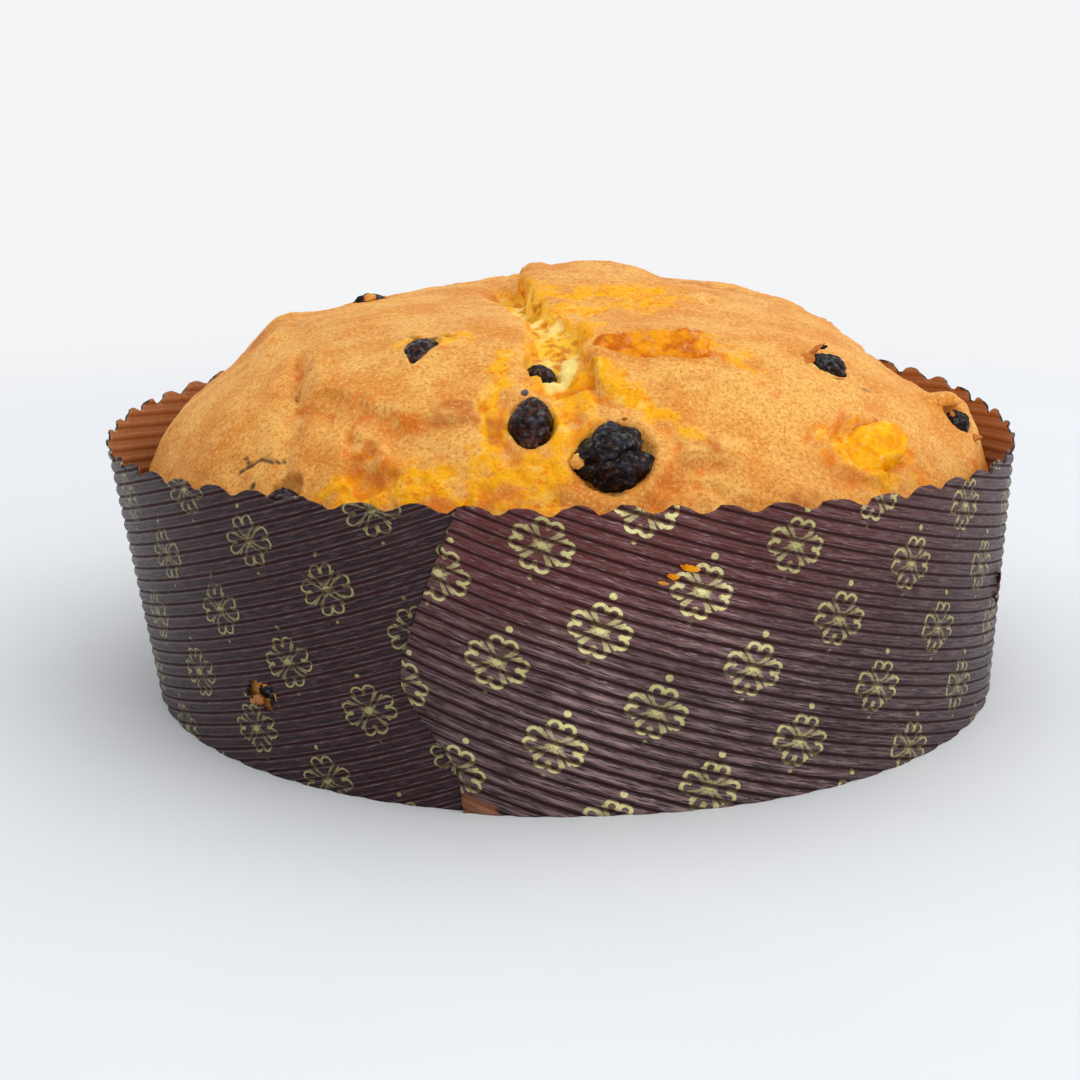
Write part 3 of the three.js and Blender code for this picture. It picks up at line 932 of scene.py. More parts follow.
@dataclass
class CaseWall:
    """The ribbed strip of the case: one sheet bent into a cone, its right end lying over its left end."""

    rim_radius: float = 105.0
    foot_radius: float = 98.64
    height: float = 61.19
    foot_shift: float = 3.18
    rim_saddle: float = 2.96
    rim_twist: float = 0.7
    scallops: int = 58
    scallop_half_height: float = 1.15
    scallop_crest: float = -29.4
    sheet_thickness: float = 0.55
    rib_depth: float = 0.58
    seam: float = -15.5
    tongue_tip: float = -19.0
    tongue_height: float = 28.0
    overlap: float = 6.0
    lift: float = 0.75
    lift_fade: float = 20.0
    cone_slope: float = 0.1186
    level_turn: float = 189.7
    columns: int = 480
    rib_steps: tuple = (0.0, 0.32, 0.5, 0.68)
    holes: tuple = (Hole(-39.4, 18.6, 3.4, 2.7), Hole(70.0, 28.3, 2.3, 3.1))
    print_steps: tuple = (18, 18)
    bunches: tuple = ((1.7, -15, 14), (-2.4, 20, 13))
    painted_sheen_humps: tuple = ((1.0, 8, 24), (0.22, 50, 30))
    warm: tuple = ((0.7, 4, 46),)
    warm_heights: tuple = (22, 60)
    uneven_waves: tuple = ((0.25, 7, 1.0), (0.15, 17, 0.0))
    tongue_slopes: tuple = (0.26, 0.36)
    tongue_reaches: tuple = (8.5, 5.7)
    tongue_round: float = 1.2
    rib_heights: tuple = (-3.0, 70.0)
    bend_fade: float = 45.0
    tuck_turns: tuple = (350, 359.5)
    tuck_depth: float = 0.55
    tuck_flatness: float = 0.7
    hole_lip: float = 0.75
    bare_angle: float = -13.2
    bare_widths: tuple = (-0.4, 7.0)
    bare_height: float = 4.6
    bare_slope: float = 0.38
    settling: int = 14

    def surface(self, angle: np.ndarray, z: np.ndarray, outwards: np.ndarray) -> np.ndarray:
        """Points of the wall.

        Args:
            angle: degrees from the front, towards +X.
            z: height.
            outwards: distance from the crests of the ribs.

        Returns:
            Array of shape (n, 3).
        """
        share = z / self.height
        radius = self.foot_radius + (self.rim_radius - self.foot_radius) * share + outwards
        middle = self.foot_shift * (1 - share)
        turn = np.radians(angle)
        return np.stack([middle + radius * np.sin(turn), -radius * np.cos(turn), z], axis=-1)

    def rim(self, angle: np.ndarray) -> np.ndarray:
        """Height of the scalloped rim at an angle.

        Args:
            angle: degrees from the front, towards +X.

        Returns:
            The height.
        """
        angle = (angle + 180) % 360 - 180
        a = np.radians(angle)
        saddle = self.rim_saddle * np.cos(2 * a) - self.rim_twist * np.sin(2 * a)
        bunched = angle - self.scallop_crest - bells(angle, self.bunches)
        wave = np.cos(self.scallops * np.radians(bunched))
        uneven = sum(height * np.sin(count * a + start) for height, count, start in self.uneven_waves)
        rounded = 0.8 * wave + 0.35 * (1 - wave * wave)
        return self.height + saddle + self.scallop_half_height * rounded + uneven

    def seam_angle(self, z: np.ndarray) -> np.ndarray:
        """Angle of the upper sheet's free edge, a rounded tongue.

        Args:
            z: height.

        Returns:
            The angle, in degrees.
        """
        above = z > self.tongue_height
        slope = np.where(above, *self.tongue_slopes) * (z - self.tongue_height)
        back = np.hypot(slope, self.tongue_round) - self.tongue_round
        return self.tongue_tip + np.minimum(back, np.where(above, *self.tongue_reaches))

    def flat(self, turn: np.ndarray, z: np.ndarray) -> tuple:
        """Place on the flat strip of a point of the wall.

        Args:
            turn: degrees from the seam, along the sheet.
            z: height.

        Returns:
            X along the ribs and Y across them, in millimetres.
        """
        sector = np.radians(turn - self.level_turn) * self.cone_slope
        slant = self.foot_radius / self.cone_slope + z / math.sqrt(1 - self.cone_slope**2)
        return slant * np.sin(sector), slant * np.cos(sector)

    def height_on(self, line: np.ndarray, turn: np.ndarray) -> np.ndarray:
        """Height at which a straight rib line passes a turn of the sheet.

        Args:
            line: where the rib lies on the flat strip.
            turn: degrees from the seam.

        Returns:
            The height.
        """
        sector = np.radians(turn - self.level_turn) * self.cone_slope
        slant = line / np.cos(sector) - self.foot_radius / self.cone_slope
        return slant * math.sqrt(1 - self.cone_slope**2)

    def phase(self, across: np.ndarray) -> np.ndarray:
        """Ribs counted from the flower nearest the front: whole on each crest."""
        return (across - PRINT_RIGHT.origin[1]) / RIB_PITCH

    def lattice(self, turn: np.ndarray, x: np.ndarray, y: np.ndarray) -> np.ndarray:
        """Place in the print, in steps from flower to flower.

        Args:
            turn: degrees from the seam.
            x: place along the ribs.
            y: place across the ribs.

        Returns:
            Array of shape (n, 2).
        """
        share = smooth_step(90, 270, turn)[:, None]
        left = PRINT_LEFT.steps(x, y) + np.array(self.print_steps)
        return PRINT_RIGHT.steps(x, y) * (1 - share) + left * share

    def build(self) -> bpy.types.Object:
        """Models the strip as a closed sheet.

        Returns:
            The piece, with slot 0 for its outside and slot 1 for its inside.
        """
        turns = np.linspace(0, 360 + self.overlap, self.columns)
        low = self.flat(np.zeros(1), np.array(self.rib_heights[:1]))[1][0]
        high = self.flat(np.array([self.level_turn]), np.array(self.rib_heights[1:]))[1][0]
        counts = np.arange(math.floor(self.phase(low)), math.ceil(self.phase(high)))
        phases = (counts[:, None] + np.array(self.rib_steps)).ravel()
        lines = PRINT_RIGHT.origin[1] + phases * RIB_PITCH
        piece = Shop.grid("case_wall", self.columns, len(lines))
        turn, line = np.meshgrid(turns, lines)
        turn, line = turn.ravel(), line.ravel()
        nearest = np.minimum(turn, np.abs(360 - turn))
        follow = np.clip(1 - nearest / self.bend_fade, 0, 1)
        z = np.full(turn.shape, self.tongue_height)
        for _ in range(self.settling):
            bend = (self.seam_angle(z) - self.seam) * follow
            angle = self.seam + turn + bend
            z = np.clip(self.height_on(line, turn + bend), 0, self.rim(angle))
        x, y = self.flat(turn + bend, z)
        phase = self.phase(y)
        crest = 1 - smooth_step(0.4, 1.0, np.abs(phase - np.round(phase)) * 2)
        lift = self.lift * (1 - smooth_step(self.overlap, self.lift_fade, turn))
        tuck = smooth_step(*self.tuck_turns, turn)
        depth = self.rib_depth * (1 - self.tuck_flatness * tuck)
        outwards = lift - self.tuck_depth * tuck - depth * (1 - crest)
        for hole in self.holes:
            near = hole.reach(angle, z, self.rim_radius)
            outwards += self.hole_lip * bell((near - 1.05) / 0.45) * (near > 0.5)
        Shop.place(piece, self.surface(angle, z, outwards))
        Shop.note(piece, "print", np.column_stack([self.lattice(turn + bend, x, y), phase]))
        warm = smooth_step(*self.warm_heights, z) * bells(angle, self.warm)
        # Painted sheen: how far the print is lightened round the case, most near the front.
        sheen = np.minimum(bells(angle, self.painted_sheen_humps), 1)
        Shop.note(piece, "tone", np.column_stack([warm, self._bare_patch(angle, z), sheen]))
        self._tear_holes(piece, angle, z)
        Shop.weld(piece)
        for _ in range(SHEET_SIDES):
            piece.data.materials.append(None)
        Shop.apply(piece, "SOLIDIFY", thickness=self.sheet_thickness * MM, offset=-1.0, use_rim=True,
                   material_offset=1, material_offset_rim=0)
        Shop.smooth(piece)
        return piece

    def dress(self, piece: bpy.types.Object) -> None:
        """Gives the wall its print outside and plain brown paper inside."""
        settle(piece, "case_paper", "paper_wall", PrintedPaper().make(), KraftPaper().make())

    def _bare_patch(self, angle: np.ndarray, z: np.ndarray) -> np.ndarray:
        """1 on the small patch by the seam's foot where the print has come off, 0 elsewhere.

        Args:
            angle: degrees from the front, towards +X.
            z: height.

        Returns:
            One number for each point.
        """
        across = np.radians(angle - self.bare_angle) * self.foot_radius
        low, high = self.bare_widths
        inside = (across > low) & (across < high) & (z < self.bare_height - self.bare_slope * across)
        return inside.astype(float)

    def _tear_holes(self, piece: bpy.types.Object, angle: np.ndarray, z: np.ndarray) -> None:
        """Deletes the sheet's points inside the torn holes.

        Args:
            piece: the object.
            angle: degrees from the front, towards +X.
            z: height.
        """
        ragged = 1 + 0.35 * GradientNoise(5).at(Shop.points(piece) / MM, 1.6)
        doomed = np.zeros(len(angle), dtype=bool)
        for hole in self.holes:
            doomed |= hole.reach(angle, z, self.rim_radius) < ragged
        Shop.edit(
            piece,
            lambda: bpy.ops.mesh.select_mode(type="VERT"),
            lambda: bpy.ops.mesh.select_all(action="DESELECT"),
        )
        piece.data.vertices.foreach_set("select", doomed)
        bpy.ops.object.mode_set(mode="EDIT")
        bpy.ops.mesh.delete(type="VERT")
        bpy.ops.object.mode_set(mode="OBJECT")


@dataclass(frozen=True)
class Lump:
    """A rise or hollow of the crust, in millimetres and degrees."""

    x: float
    y: float
    along: float
    across: float
    turn: float
    rise: float

    def height(self, x: np.ndarray, y: np.ndarray) -> np.ndarray:
        """Its height at points of the crust.

        Args:
            x: X of the points.
            y: Y of the points.

        Returns:
            One height for each point.
        """
        cos, sin = math.cos(math.radians(self.turn)), math.sin(math.radians(self.turn))
        u = ((x - self.x) * cos + (y - self.y) * sin) / self.along
        v = ((y - self.y) * cos - (x - self.x) * sin) / self.across
        return self.rise * np.exp(-u * u - v * v)


LUMPS = (
    Lump(9, 24, 18, 20, 0, 5),
    Lump(-28, 20, 14, 22, 0, -1.2),
    Lump(-76, 10, 11, 30, 0, -3.2),
    Lump(94, -18, 8, 16, 0, 6),
    Lump(82, 12, 13, 26, 0, -4),
    Lump(-13, 16, 4, 12, 0, -5.2),
    Lump(-6, -20, 5, 22, 6, -3.4),
    Lump(-1, -62, 5.5, 16, 0, -3),
    Lump(-24, -48, 24, 30, -12, 2),
    Lump(36, -52, 28, 18, 8, 1.8),
    Lump(20, -43, 17, 4.5, 3, -1.8),
    Lump(-56, -52, 2.6, 20, 0, -2),
    Lump(-36, -72, 13, 3, -35, -2.2),
    Lump(-39, -78, 3.4, 3.4, 0, -2.4),
    Lump(-47, -72, 7, 6, 20, 1.6),
    Lump(-69, 22, 8, 16, 0, 4.4),
    Lump(-48, 30, 12, 18, 0, -0.9),
    Lump(28, 34, 9, 16, 0, -1),
    Lump(44, 40, 18, 14, 20, 1.8),
)


class Trait(Enum):
    """What a stroke does to the crust."""

    # The orange inside a crease is painted shade.
    CREASE = "a narrow hollow, orange inside"
    # A ridge also gets a painted highlight in pale.
    RIDGE = "a low narrow rise"
    # A step also gets a painted highlight in pale on its raised edge and painted shade in orange at its
    # foot.
    STEP = "a step down from the line's left side to its right side"
    TORN = "open crumb"
    YELLOW = "thin yellow crust"
    # Also painted shade: creases, the foot of each step and the crust round each fruit's opening are tinted
    # with it.
    ORANGE = "glazed orange crust"
    BROWN = "toasted crust"
    # Also painted highlight: ridges and the raised edge of each step are tinted with it.
    PALE = "pale crust"
    DARK = "a dark scratch or pit"


COLOURS = (Trait.YELLOW, Trait.ORANGE, Trait.BROWN, Trait.PALE)


class Dough:
    """The crust while it is worked: how far its points move outwards, and how strong each trait is."""

    def __init__(self, points: np.ndarray, noise: GradientNoise) -> None:
        """Starts with the crust's grain.

        Args:
            points: places on the plain form, in millimetres.
            noise: what makes the grain, and the strokes uneven.
        """
        self.points = points
        self.noise = noise
        self.masks = {trait: np.zeros(len(points)) for trait in Trait}
        self.relief = 0.55 * noise.layered(points, 17, 2) + 0.3 * noise.layered(points + 60, 5.5, 3)
        self.relief += 0.09 * noise.layered(points + 90, 2.2, 2)
        self.wander = np.stack([noise.layered(points + shift, 5, 3) for shift in (33, 71)])
        self.straight = points[:, :2].T
        self.wavy = self.straight + 0.9 * self.wander
        drift = np.stack([noise.layered(points + shift, 8, 4) for shift in (120, 151)])
        self.loose = self.straight + 4.0 * drift
        self.blot = np.clip(0.95 + 0.9 * noise.layered(points + 180, 5, 3), 0.35, 1.6)

    def tint(self, trait: Trait, amount: np.ndarray) -> None:
        """Raises a trait to an amount where it is lower."""
        self.masks[trait] = np.maximum(self.masks[trait], amount)

    def wrinkle(self) -> None:
        """Folds the thin yellow crust."""
        folds = np.abs(self.noise.layered(self.points + 210, 4.2, 3))
        self.relief += self.masks[Trait.YELLOW] * (1 - self.masks[Trait.TORN]) * (0.35 - 1.1 * folds)

    def traits(self, *traits: Trait) -> np.ndarray:
        """How strong some traits are, one row for each point."""
        return np.column_stack([self.masks[trait] for trait in traits])


@dataclass(frozen=True)
class Stroke:
    """A mark along a line on the crust. Millimetres; a corner may give its own half width."""

    trait: Trait
    width: float
    depth: float
    line: Sequence[tuple]

    def press(self, dough: Dough) -> None:
        """Works the stroke into the crust.

        Args:
            dough: the crust that is worked.
        """
        colour = self.trait in COLOURS
        place = dough.straight if self.trait is Trait.DARK else dough.loose if colour else dough.wavy
        away, side, width = along_line(*place, self.line)
        reach = width if len(self.line[0]) > 2 else self.width
        near = bell(away / (reach * dough.blot if colour else reach))
        if colour:
            dough.tint(self.trait, near)
        elif self.trait is Trait.CREASE:
            dough.relief -= self.depth * near
            # Painted shade: the hollow is tinted orange.
            dough.tint(Trait.ORANGE, 0.75 * bell(away / reach / 1.3))
        elif self.trait is Trait.DARK:
            dough.relief -= self.depth * near
            dough.tint(Trait.DARK, np.exp(-((away / reach) ** 4)))
        elif self.trait is Trait.RIDGE:
            dough.relief += self.depth * near
            # Painted highlight: the ridge is tinted pale.
            dough.tint(Trait.PALE, 0.5 * near)
        elif self.trait is Trait.STEP:
            dough.relief += 0.5 * self.depth * np.tanh(side * away / reach) * bell(away / reach / 4.5)
            # Painted highlight in pale on the raised edge, painted shade in orange at the foot.
            dough.tint(Trait.PALE, 0.4 * bell((away - side * reach) / reach))
            dough.tint(Trait.ORANGE, 0.7 * bell((away + side * reach * 0.8) / reach) * (side < 0))
        else:
            self._tear(dough, away - reach)

    @staticmethod
    def _tear(dough: Dough, past: np.ndarray) -> None:
        """Opens the crumb in sheets and pits.

        Args:
            dough: the crust that is worked.
            past: how far each point lies past the tear's edge.
        """
        torn = 1 - smooth_step(-0.7, 0.7, past)
        dough.tint(Trait.TORN, torn)
        dough.tint(Trait.YELLOW, 0.8 * smooth_step(5, 0, past))
        sheets = dough.noise.layered(dough.points * np.array([0.7, 0.7, 1.0]) + 11, 5.0, 2, 0.5)
        pits = np.abs(dough.noise.layered(dough.points + 5, 3.6, 3, 0.45))
        dough.relief += torn * (1.3 * sheets - 1.5 * pits - 0.5)


STROKES = {
    Trait.TORN: (
        (3, 2.2, (-12, 22, 2.2), (-10, 8, 3), (-8, -6, 3.4), (-5.5, -20, 3.8), (-1.5, -32, 4.6),
         (0, -44, 5), (-0.5, -52, 5), (-1.5, -59, 3.4)),
    ),
    Trait.YELLOW: (
        (7, 0, (-5, -1), (4, -3), (14, 0), (22, 4)),
        (6.5, 0, (-2, -16), (6, -20), (14, -15), (22, -8)),
        (4, 0, (2, -38), (6, -36)),
        (6, 0, (2, -62), (3, -72), (-1, -82), (-5, -90), (-8, -98)),
        (3.5, 0, (-10, -56), (-13, -64), (-14, -74), (-14, -84), (-18, -95)),
        (3.5, 0, (8, -61), (12, -67), (20, -70), (26, -76)),
        (4, 0, (-44, -79), (-34, -84), (-22, -87), (-8, -86)),
        (3.4, 0, (-33, -43), (-28, -45), (-22, -45)),
        (3.5, 0, (33, -40), (38, -47), (41, -53)),
        (6.5, 0, (60, -65), (65, -60), (71, -54)),
        (5, 0, (12, 64), (2, 56), (-8, 50)),
        (4.5, 0, (-54, 44), (-44, 50)),
        (5, 0, (44, 46), (54, 42)),
        (4, 0, (72, 20), (76, 32), (70, 44)),
    ),
    Trait.STEP: (
        (1.1, 5.0, (-8, 33), (-9, 24), (-9, 14), (-8, 4), (-6, -8)),
        (1.1, 1.8, (-8, -61), (-7, -55), (-5.5, -46), (-6.5, -28), (-12, -17)),
        (1.4, 3.2, (32, 4), (23, -7), (14, -13), (7, -27), (3, -35), (5.5, -43), (6, -51), (7, -58)),
        (1.0, 2.2, (36, -54), (32, -54.5), (25, -55.5), (17, -56), (9, -57)),
        (1.3, 1.4, (10, -41), (19, -37), (30, -37)),
        (1.4, 2.4, (-45, -59), (-39, -65), (-33, -70.5), (-26, -72)),
        (1.5, 2.4, (62, 18), (54, 32), (42, 42), (30, 44)),
        (1.4, 2.0, (-24, 50), (-10, 43), (6, 46)),
    ),
    Trait.RIDGE: (
        (1.0, 1.4, (-6, -61.5), (0, -60.5), (3, -61), (6.5, -59)),
        (1.4, 1.2, (8, -60), (9, -65), (13, -67), (22, -66)),
        (1.6, 1.0, (24, -63), (30, -62), (35, -58)),
        (2.0, 1.2, (25, -79), (30, -77), (36, -76)),
        (2.0, 1.2, (-53, -34), (-52, -44), (-50, -50)),
        (1.5, 1.8, (-41, -68), (-36, -72), (-34.5, -79)),
        (1.8, 1.3, (46, -80), (49, -78), (52, -77)),
        (1.6, 1.0, (36, -83), (39, -82)),
        (1.8, 1.4, (95, -14), (94, -24), (91, -34)),
        (2.2, 1.8, (83, -20), (88, -15), (92, -12)),
        (2.2, 1.5, (18, 80), (32, 75), (45, 66)),
        (2.0, 1.3, (-50, 66), (-36, 74)),
        (2.4, 1.2, (-66, -8), (-64, 8)),
    ),
    Trait.CREASE: (
        (0.9, 0.8, (-5, -64), (0, -63.5), (6, -62)),
        (1.0, 1.2, (6.5, -62), (7.5, -68), (12, -70.5)),
        (1.0, 1.0, (12, -3), (21, 1), (31, 3)),
        (0.9, 0.9, (26, -60), (30, -60), (32, -57)),
        (1.4, 1.6, (-11, -70), (-12.5, -77), (-9, -83)),
        (1.3, 0.9, (3, -71), (4, -77), (1, -82)),
        (1.5, 1.3, (20, -74), (23.5, -77), (22, -86), (16, -91)),
        (1.1, 1.3, (17, -92), (21, -86), (26, -82), (32, -80)),
        (1.0, 1.0, (22, -86), (27, -84), (33, -84)),
        (0.9, 1.7, (-58, -28), (-57, -37), (-56, -45), (-55, -51)),
        (1.1, 1.3, (-55.5, -53), (-52, -57), (-48, -61)),
        (1.2, 1.4, (-43, -68), (-42, -74), (-38, -79)),
        (1.3, 1.8, (-42, -76), (-39, -80), (-34, -81)),
        (1.0, 1.0, (56, -71.5), (61, -69.5), (68, -65)),
        (0.9, 0.8, (41, -84), (48, -83), (54, -79)),
        (1.3, 1.5, (30, 62), (40, 54), (52, 51), (60, 44)),
        (1.2, 1.4, (-42, 56), (-30, 65), (-18, 67)),
        (1.1, 1.3, (-74, 36), (-62, 44), (-54, 56)),
        (1.2, 1.2, (3, 72), (11, 62), (9, 50)),
        (1.0, 1.2, (66, 0), (74, 10), (76, 24)),
    ),
    Trait.ORANGE: (
        (2.0, 0, (-55, -54), (-49, -61)),
        (2.6, 0, (-42, -61), (-36, -68), (-29, -72)),
        (2.2, 0, (-39, -72), (-37, -79)),
        (2.0, 0, (-86, -38), (-82, -44)),
        (1.8, 0, (43, -59), (46, -57)),
        (1.3, 0, (9, -69.5), (12, -71)),
        (1.6, 0, (54, -63), (54.5, -68), (58, -70.5)),
        (2.2, 0, (56.5, -59.5), (60, -56.5)),
        (1.8, 0, (65, -51), (70, -49.5), (74, -51), (76, -55)),
        (1.8, 0, (96, -16), (95, -26), (91, -36)),
        (2.4, 0, (9, 13), (14, 13)),
        (2.2, 0, (-26, -90), (-20, -88), (14, -95), (24, -92), (34, -90)),
        (1.2, 0, (34, -51), (33, -42)),
        (2.6, 0, (28, 65), (38, 56)),
        (2.4, 0, (-32, 68), (-20, 69)),
        (2.4, 0, (-74, 32), (-64, 42)),
        (2.2, 0, (58, 60), (48, 70)),
    ),
    Trait.BROWN: (
        (1.6, 0, (-12, -19), (-7, -25)),
        (2.2, 0, (-9, 24), (-7, 23), (-3, 20)),
        (1.5, 0, (5, -54), (6, -57), (10, -56)),
        (1.8, 0, (-14, -70), (-13.5, -76)),
        (2.4, 0, (45, -81), (51, -77.5)),
        (2.2, 0, (27, -80), (31, -78)),
        (4, 0, (-74, 14), (-68, 8), (-60, 4)),
        (2.2, 0, (-40, -72), (-37, -76)),
        (2.4, 0, (-54, -38), (-51, -46)),
        (2.5, 0, (-22, -69), (-19, -75)),
        (1.2, 0, (66, -50), (71, -49)),
        (5, 0, (10, 34), (28, 38), (40, 30)),
        (4, 0, (-30, 40), (-42, 48)),
        (3.5, 0, (20, 79), (36, 74)),
        (3, 0, (-48, 66), (-38, 73)),
    ),
    Trait.DARK: (
        (0.5, 0.6, (-32, -41.5), (-28, -44.5), (-23.5, -43)),
        (0.3, 0.3, (-66, -58), (-65, -60.5), (-62, -61.5), (-59.5, -64), (-56.5, -65.5)),
        (0.3, 0.3, (-67, -60), (-64.5, -61)),
        (0.45, 0.4, (-64.2, -65), (-63.4, -65.5)),
        (0.4, 0.4, (59.5, -41), (60, -41)),
        (0.4, 0.3, (65, -40), (66.4, -39.5)),
        (0.6, 0.6, (34, 52), (35.5, 53)),
        (0.5, 0.5, (-24, 60), (-22.5, 61.5)),
    ),
    Trait.PALE: (
        (5, 0, (20, -58), (40, -62), (60, -44)),
        (4, 0, (-40, -50), (-24, -56), (-18, -66)),
        (4, 0, (-68, -58), (-61, -64), (-57, -70)),
    ),
}


@dataclass(frozen=True)
class Fruit:
    """A piece of fruit in the crust. Millimetres and degrees.

    Its place, how deep its middle sits, its turn and tilt, its half sizes and the seed of its wrinkles; how
    deep its pocket is, how wide the opening over it is against its own width, how three-cornered the opening
    is, and how far the part that shows lies from the CAD body's middle.
    """

    name: str
    stuff: Stuff
    x: float
    y: float
    sink: float
    turn: float
    tilt: float
    half: tuple
    seed: int
    pocket: float = 1.6
    window: float = 1.0
    corners: float = 0.0
    nudge: tuple = (0.0, 0.0, 0.0)

    def form(self, ways: np.ndarray, noise: GradientNoise) -> np.ndarray:
        """Points of the fruit about its own middle, from the ways out of it."""
        raise NotImplementedError

    def build(self, cake: "Cake") -> bpy.types.Object:
        """Models the fruit in its place on the cake.

        Args:
            cake: the cake that it is on.

        Returns:
            The piece.
        """
        piece, ways = Shop.ball(f"{self.name}_fruit", FRUIT_STEPS)
        body = turned(self.form(ways, GradientNoise(self.seed)), (0, 0, self.turn), (self.tilt, 0, 0))
        height = cake.crust_height(self.x, self.y) - self.sink
        Shop.place(piece, body + (np.array([self.x, self.y, height]) + np.array(self.nudge)))
        Shop.smooth(piece)
        return piece

    def dress(self, piece: bpy.types.Object) -> None:
        """Gives the fruit its skin, over the CAD node of its name."""
        self.stuff.dress(piece, self.name)

    def press(self, dough: Dough) -> None:
        """Sinks the crust round the fruit.

        Args:
            dough: the crust that is worked.
        """
        turn, tilt = math.radians(self.turn), math.radians(self.tilt)
        across = math.hypot(self.half[1] * math.cos(tilt), self.half[2] * math.sin(tilt))
        dx = dough.points[:, 0] - self.x - self.nudge[0]
        dy = dough.points[:, 1] - self.y - self.nudge[1]
        u = (dx * math.cos(turn) + dy * math.sin(turn)) / (self.half[0] * self.window)
        v = (dy * math.cos(turn) - dx * math.sin(turn)) / (across * self.window)
        uneven = 1 + 0.12 * dough.wander[0] + self.corners * np.cos(3 * np.arctan2(v, u))
        reach = np.hypot(u, v) * uneven
        inside = 1 - smooth_step(0.88, 1.08, reach)
        # Painted shade: an orange ring where the crust meets the fruit.
        dough.tint(Trait.ORANGE, 0.6 * bell((reach - 1.08) / 0.16))
        lip = 0.55 * bell((reach - 1.3) / 0.17)
        dough.relief = dough.relief * (1 - 0.7 * inside) - self.pocket * inside + lip


@dataclass(frozen=True)
class Raisin(Fruit):
    """A wrinkled raisin. How wide its knobs are, and its deep folds: (direction, place, depth, width)."""

    knob: float = 2.6
    folds: tuple = ()

    def form(self, ways: np.ndarray, noise: GradientNoise) -> np.ndarray:
        """A ball with knobs, fine wrinkles and folds.

        Args:
            ways: the ways out of its middle, each of length 1.
            noise: what makes it uneven.

        Returns:
            Its points about its middle.
        """
        body = ways * np.array(self.half)
        warp = np.stack([noise.at(body + shift, 3.0) for shift in (31, 57, 83)], axis=-1)
        knobs = np.abs(noise.layered(body * np.array([0.7, 1.0, 1.0]) + 1.2 * warp, self.knob, 2, 0.5))
        fine = np.abs(noise.at(body + 0.5 * warp + 9, 1.3))
        swell = 0.93 + 0.14 * noise.at(body, 5.5) + (0.15 * self.knob * knobs + 0.14 * fine) / min(self.half)
        for normal, place, depth, width in self.folds:
            line = (ways + 0.16 * warp) @ np.array(normal)
            swell -= depth * bell((line - place) / width)
        return body * swell[:, None]


@dataclass(frozen=True)
class Peel(Fruit):
    """A piece of candied peel. How blunt its corners are, lower for more like a box."""

    blunt: float = 0.85

    def form(self, ways: np.ndarray, noise: GradientNoise) -> np.ndarray:
        """A slab with soft uneven edges.

        Args:
            ways: the ways out of its middle, each of length 1.
            noise: what makes it uneven.

        Returns:
            Its points about its middle.
        """
        body = np.sign(ways) * np.abs(ways) ** self.blunt * np.array(self.half)
        facets = np.abs(noise.layered(body + 40, 4.0, 2, 0.4))
        return body * (0.97 + 0.05 * noise.layered(body, 5.0, 3) + 0.12 * facets)[:, None]


RAISINS = (
    Raisin("raisin_big", Stuff.FRUIT, 10.6, -82, 0.5, 20, 50, (8.1, 7.2, 5.2), 11, 2.4,
           knob=3.2, folds=(((0.12, 0.9, 0.42), 0.08, 0.2, 0.13),)),
    Raisin("raisin_centre", Stuff.BROWN_FRUIT, -5.5, -74.6, 0.6, 85, 45, (6.3, 4.6, 4), 23, 2.2,
           knob=1.9, folds=(((0.9, 0.3, 0.1), -0.4, 0.14, 0.2),)),
    Raisin("raisin_right", Stuff.FRUIT, 57.7, -34.7, 0.9, -15, 20, (4.4, 3.6, 3), 37, 2.0, 1.0, 0.1,
           (0, -1, 0)),
    Raisin("raisin_fissure", Stuff.BROWN_FRUIT, -3.8, -57.7, 1.4, -35, 30, (3.6, 2.7, 2.5), 41, 1.6, 1.0,
           0.1, (0, 1, 0.3)),
    Raisin("raisin_left", Stuff.BROWN_FRUIT, -28.5, -45.2, 1.8, 78, 24, (5.4, 3.8, 2.8), 53, 2.6, 0.84,
           0.2, (-0.6, -3.0, -0.6)),
    Raisin("raisin_edge", Stuff.FRUIT, 89.5, -22, 0.8, 70, 30, (3.6, 3, 2.6), 61, 2.0, 1.0, 0.1,
           (-0.5, 0, -1)),
    Raisin("raisin_back", Stuff.FRUIT, -44.4, 13.7, 1, 0, 0, (4.6, 3.2, 2.8), 71, 1.4),
    Raisin("raisin_front_left", Stuff.FRUIT, -55.9, -73.2, 1.2, -35, 40, (4.4, 3, 2.5), 83, 2.2, 0.9, 0.0,
           (0, 0.6, 0.3)),
)
PEELS = (
    Peel("peel_slab", Stuff.PEEL, 19, -46.5, 1.6, 4, 46, (12, 4.6, 2.6), 91, 1.6, 1.06, 0.0,
         (0.5, -1.6, 1.0), 0.45),
    Peel("peel_lemon", Stuff.LEMON, 65, -57.5, 1.2, 38, 42, (9.6, 5.8, 2.3), 97, 2.0, 1.0, 0.0,
         (-0.8, -1.0, -0.9), 0.9),
)


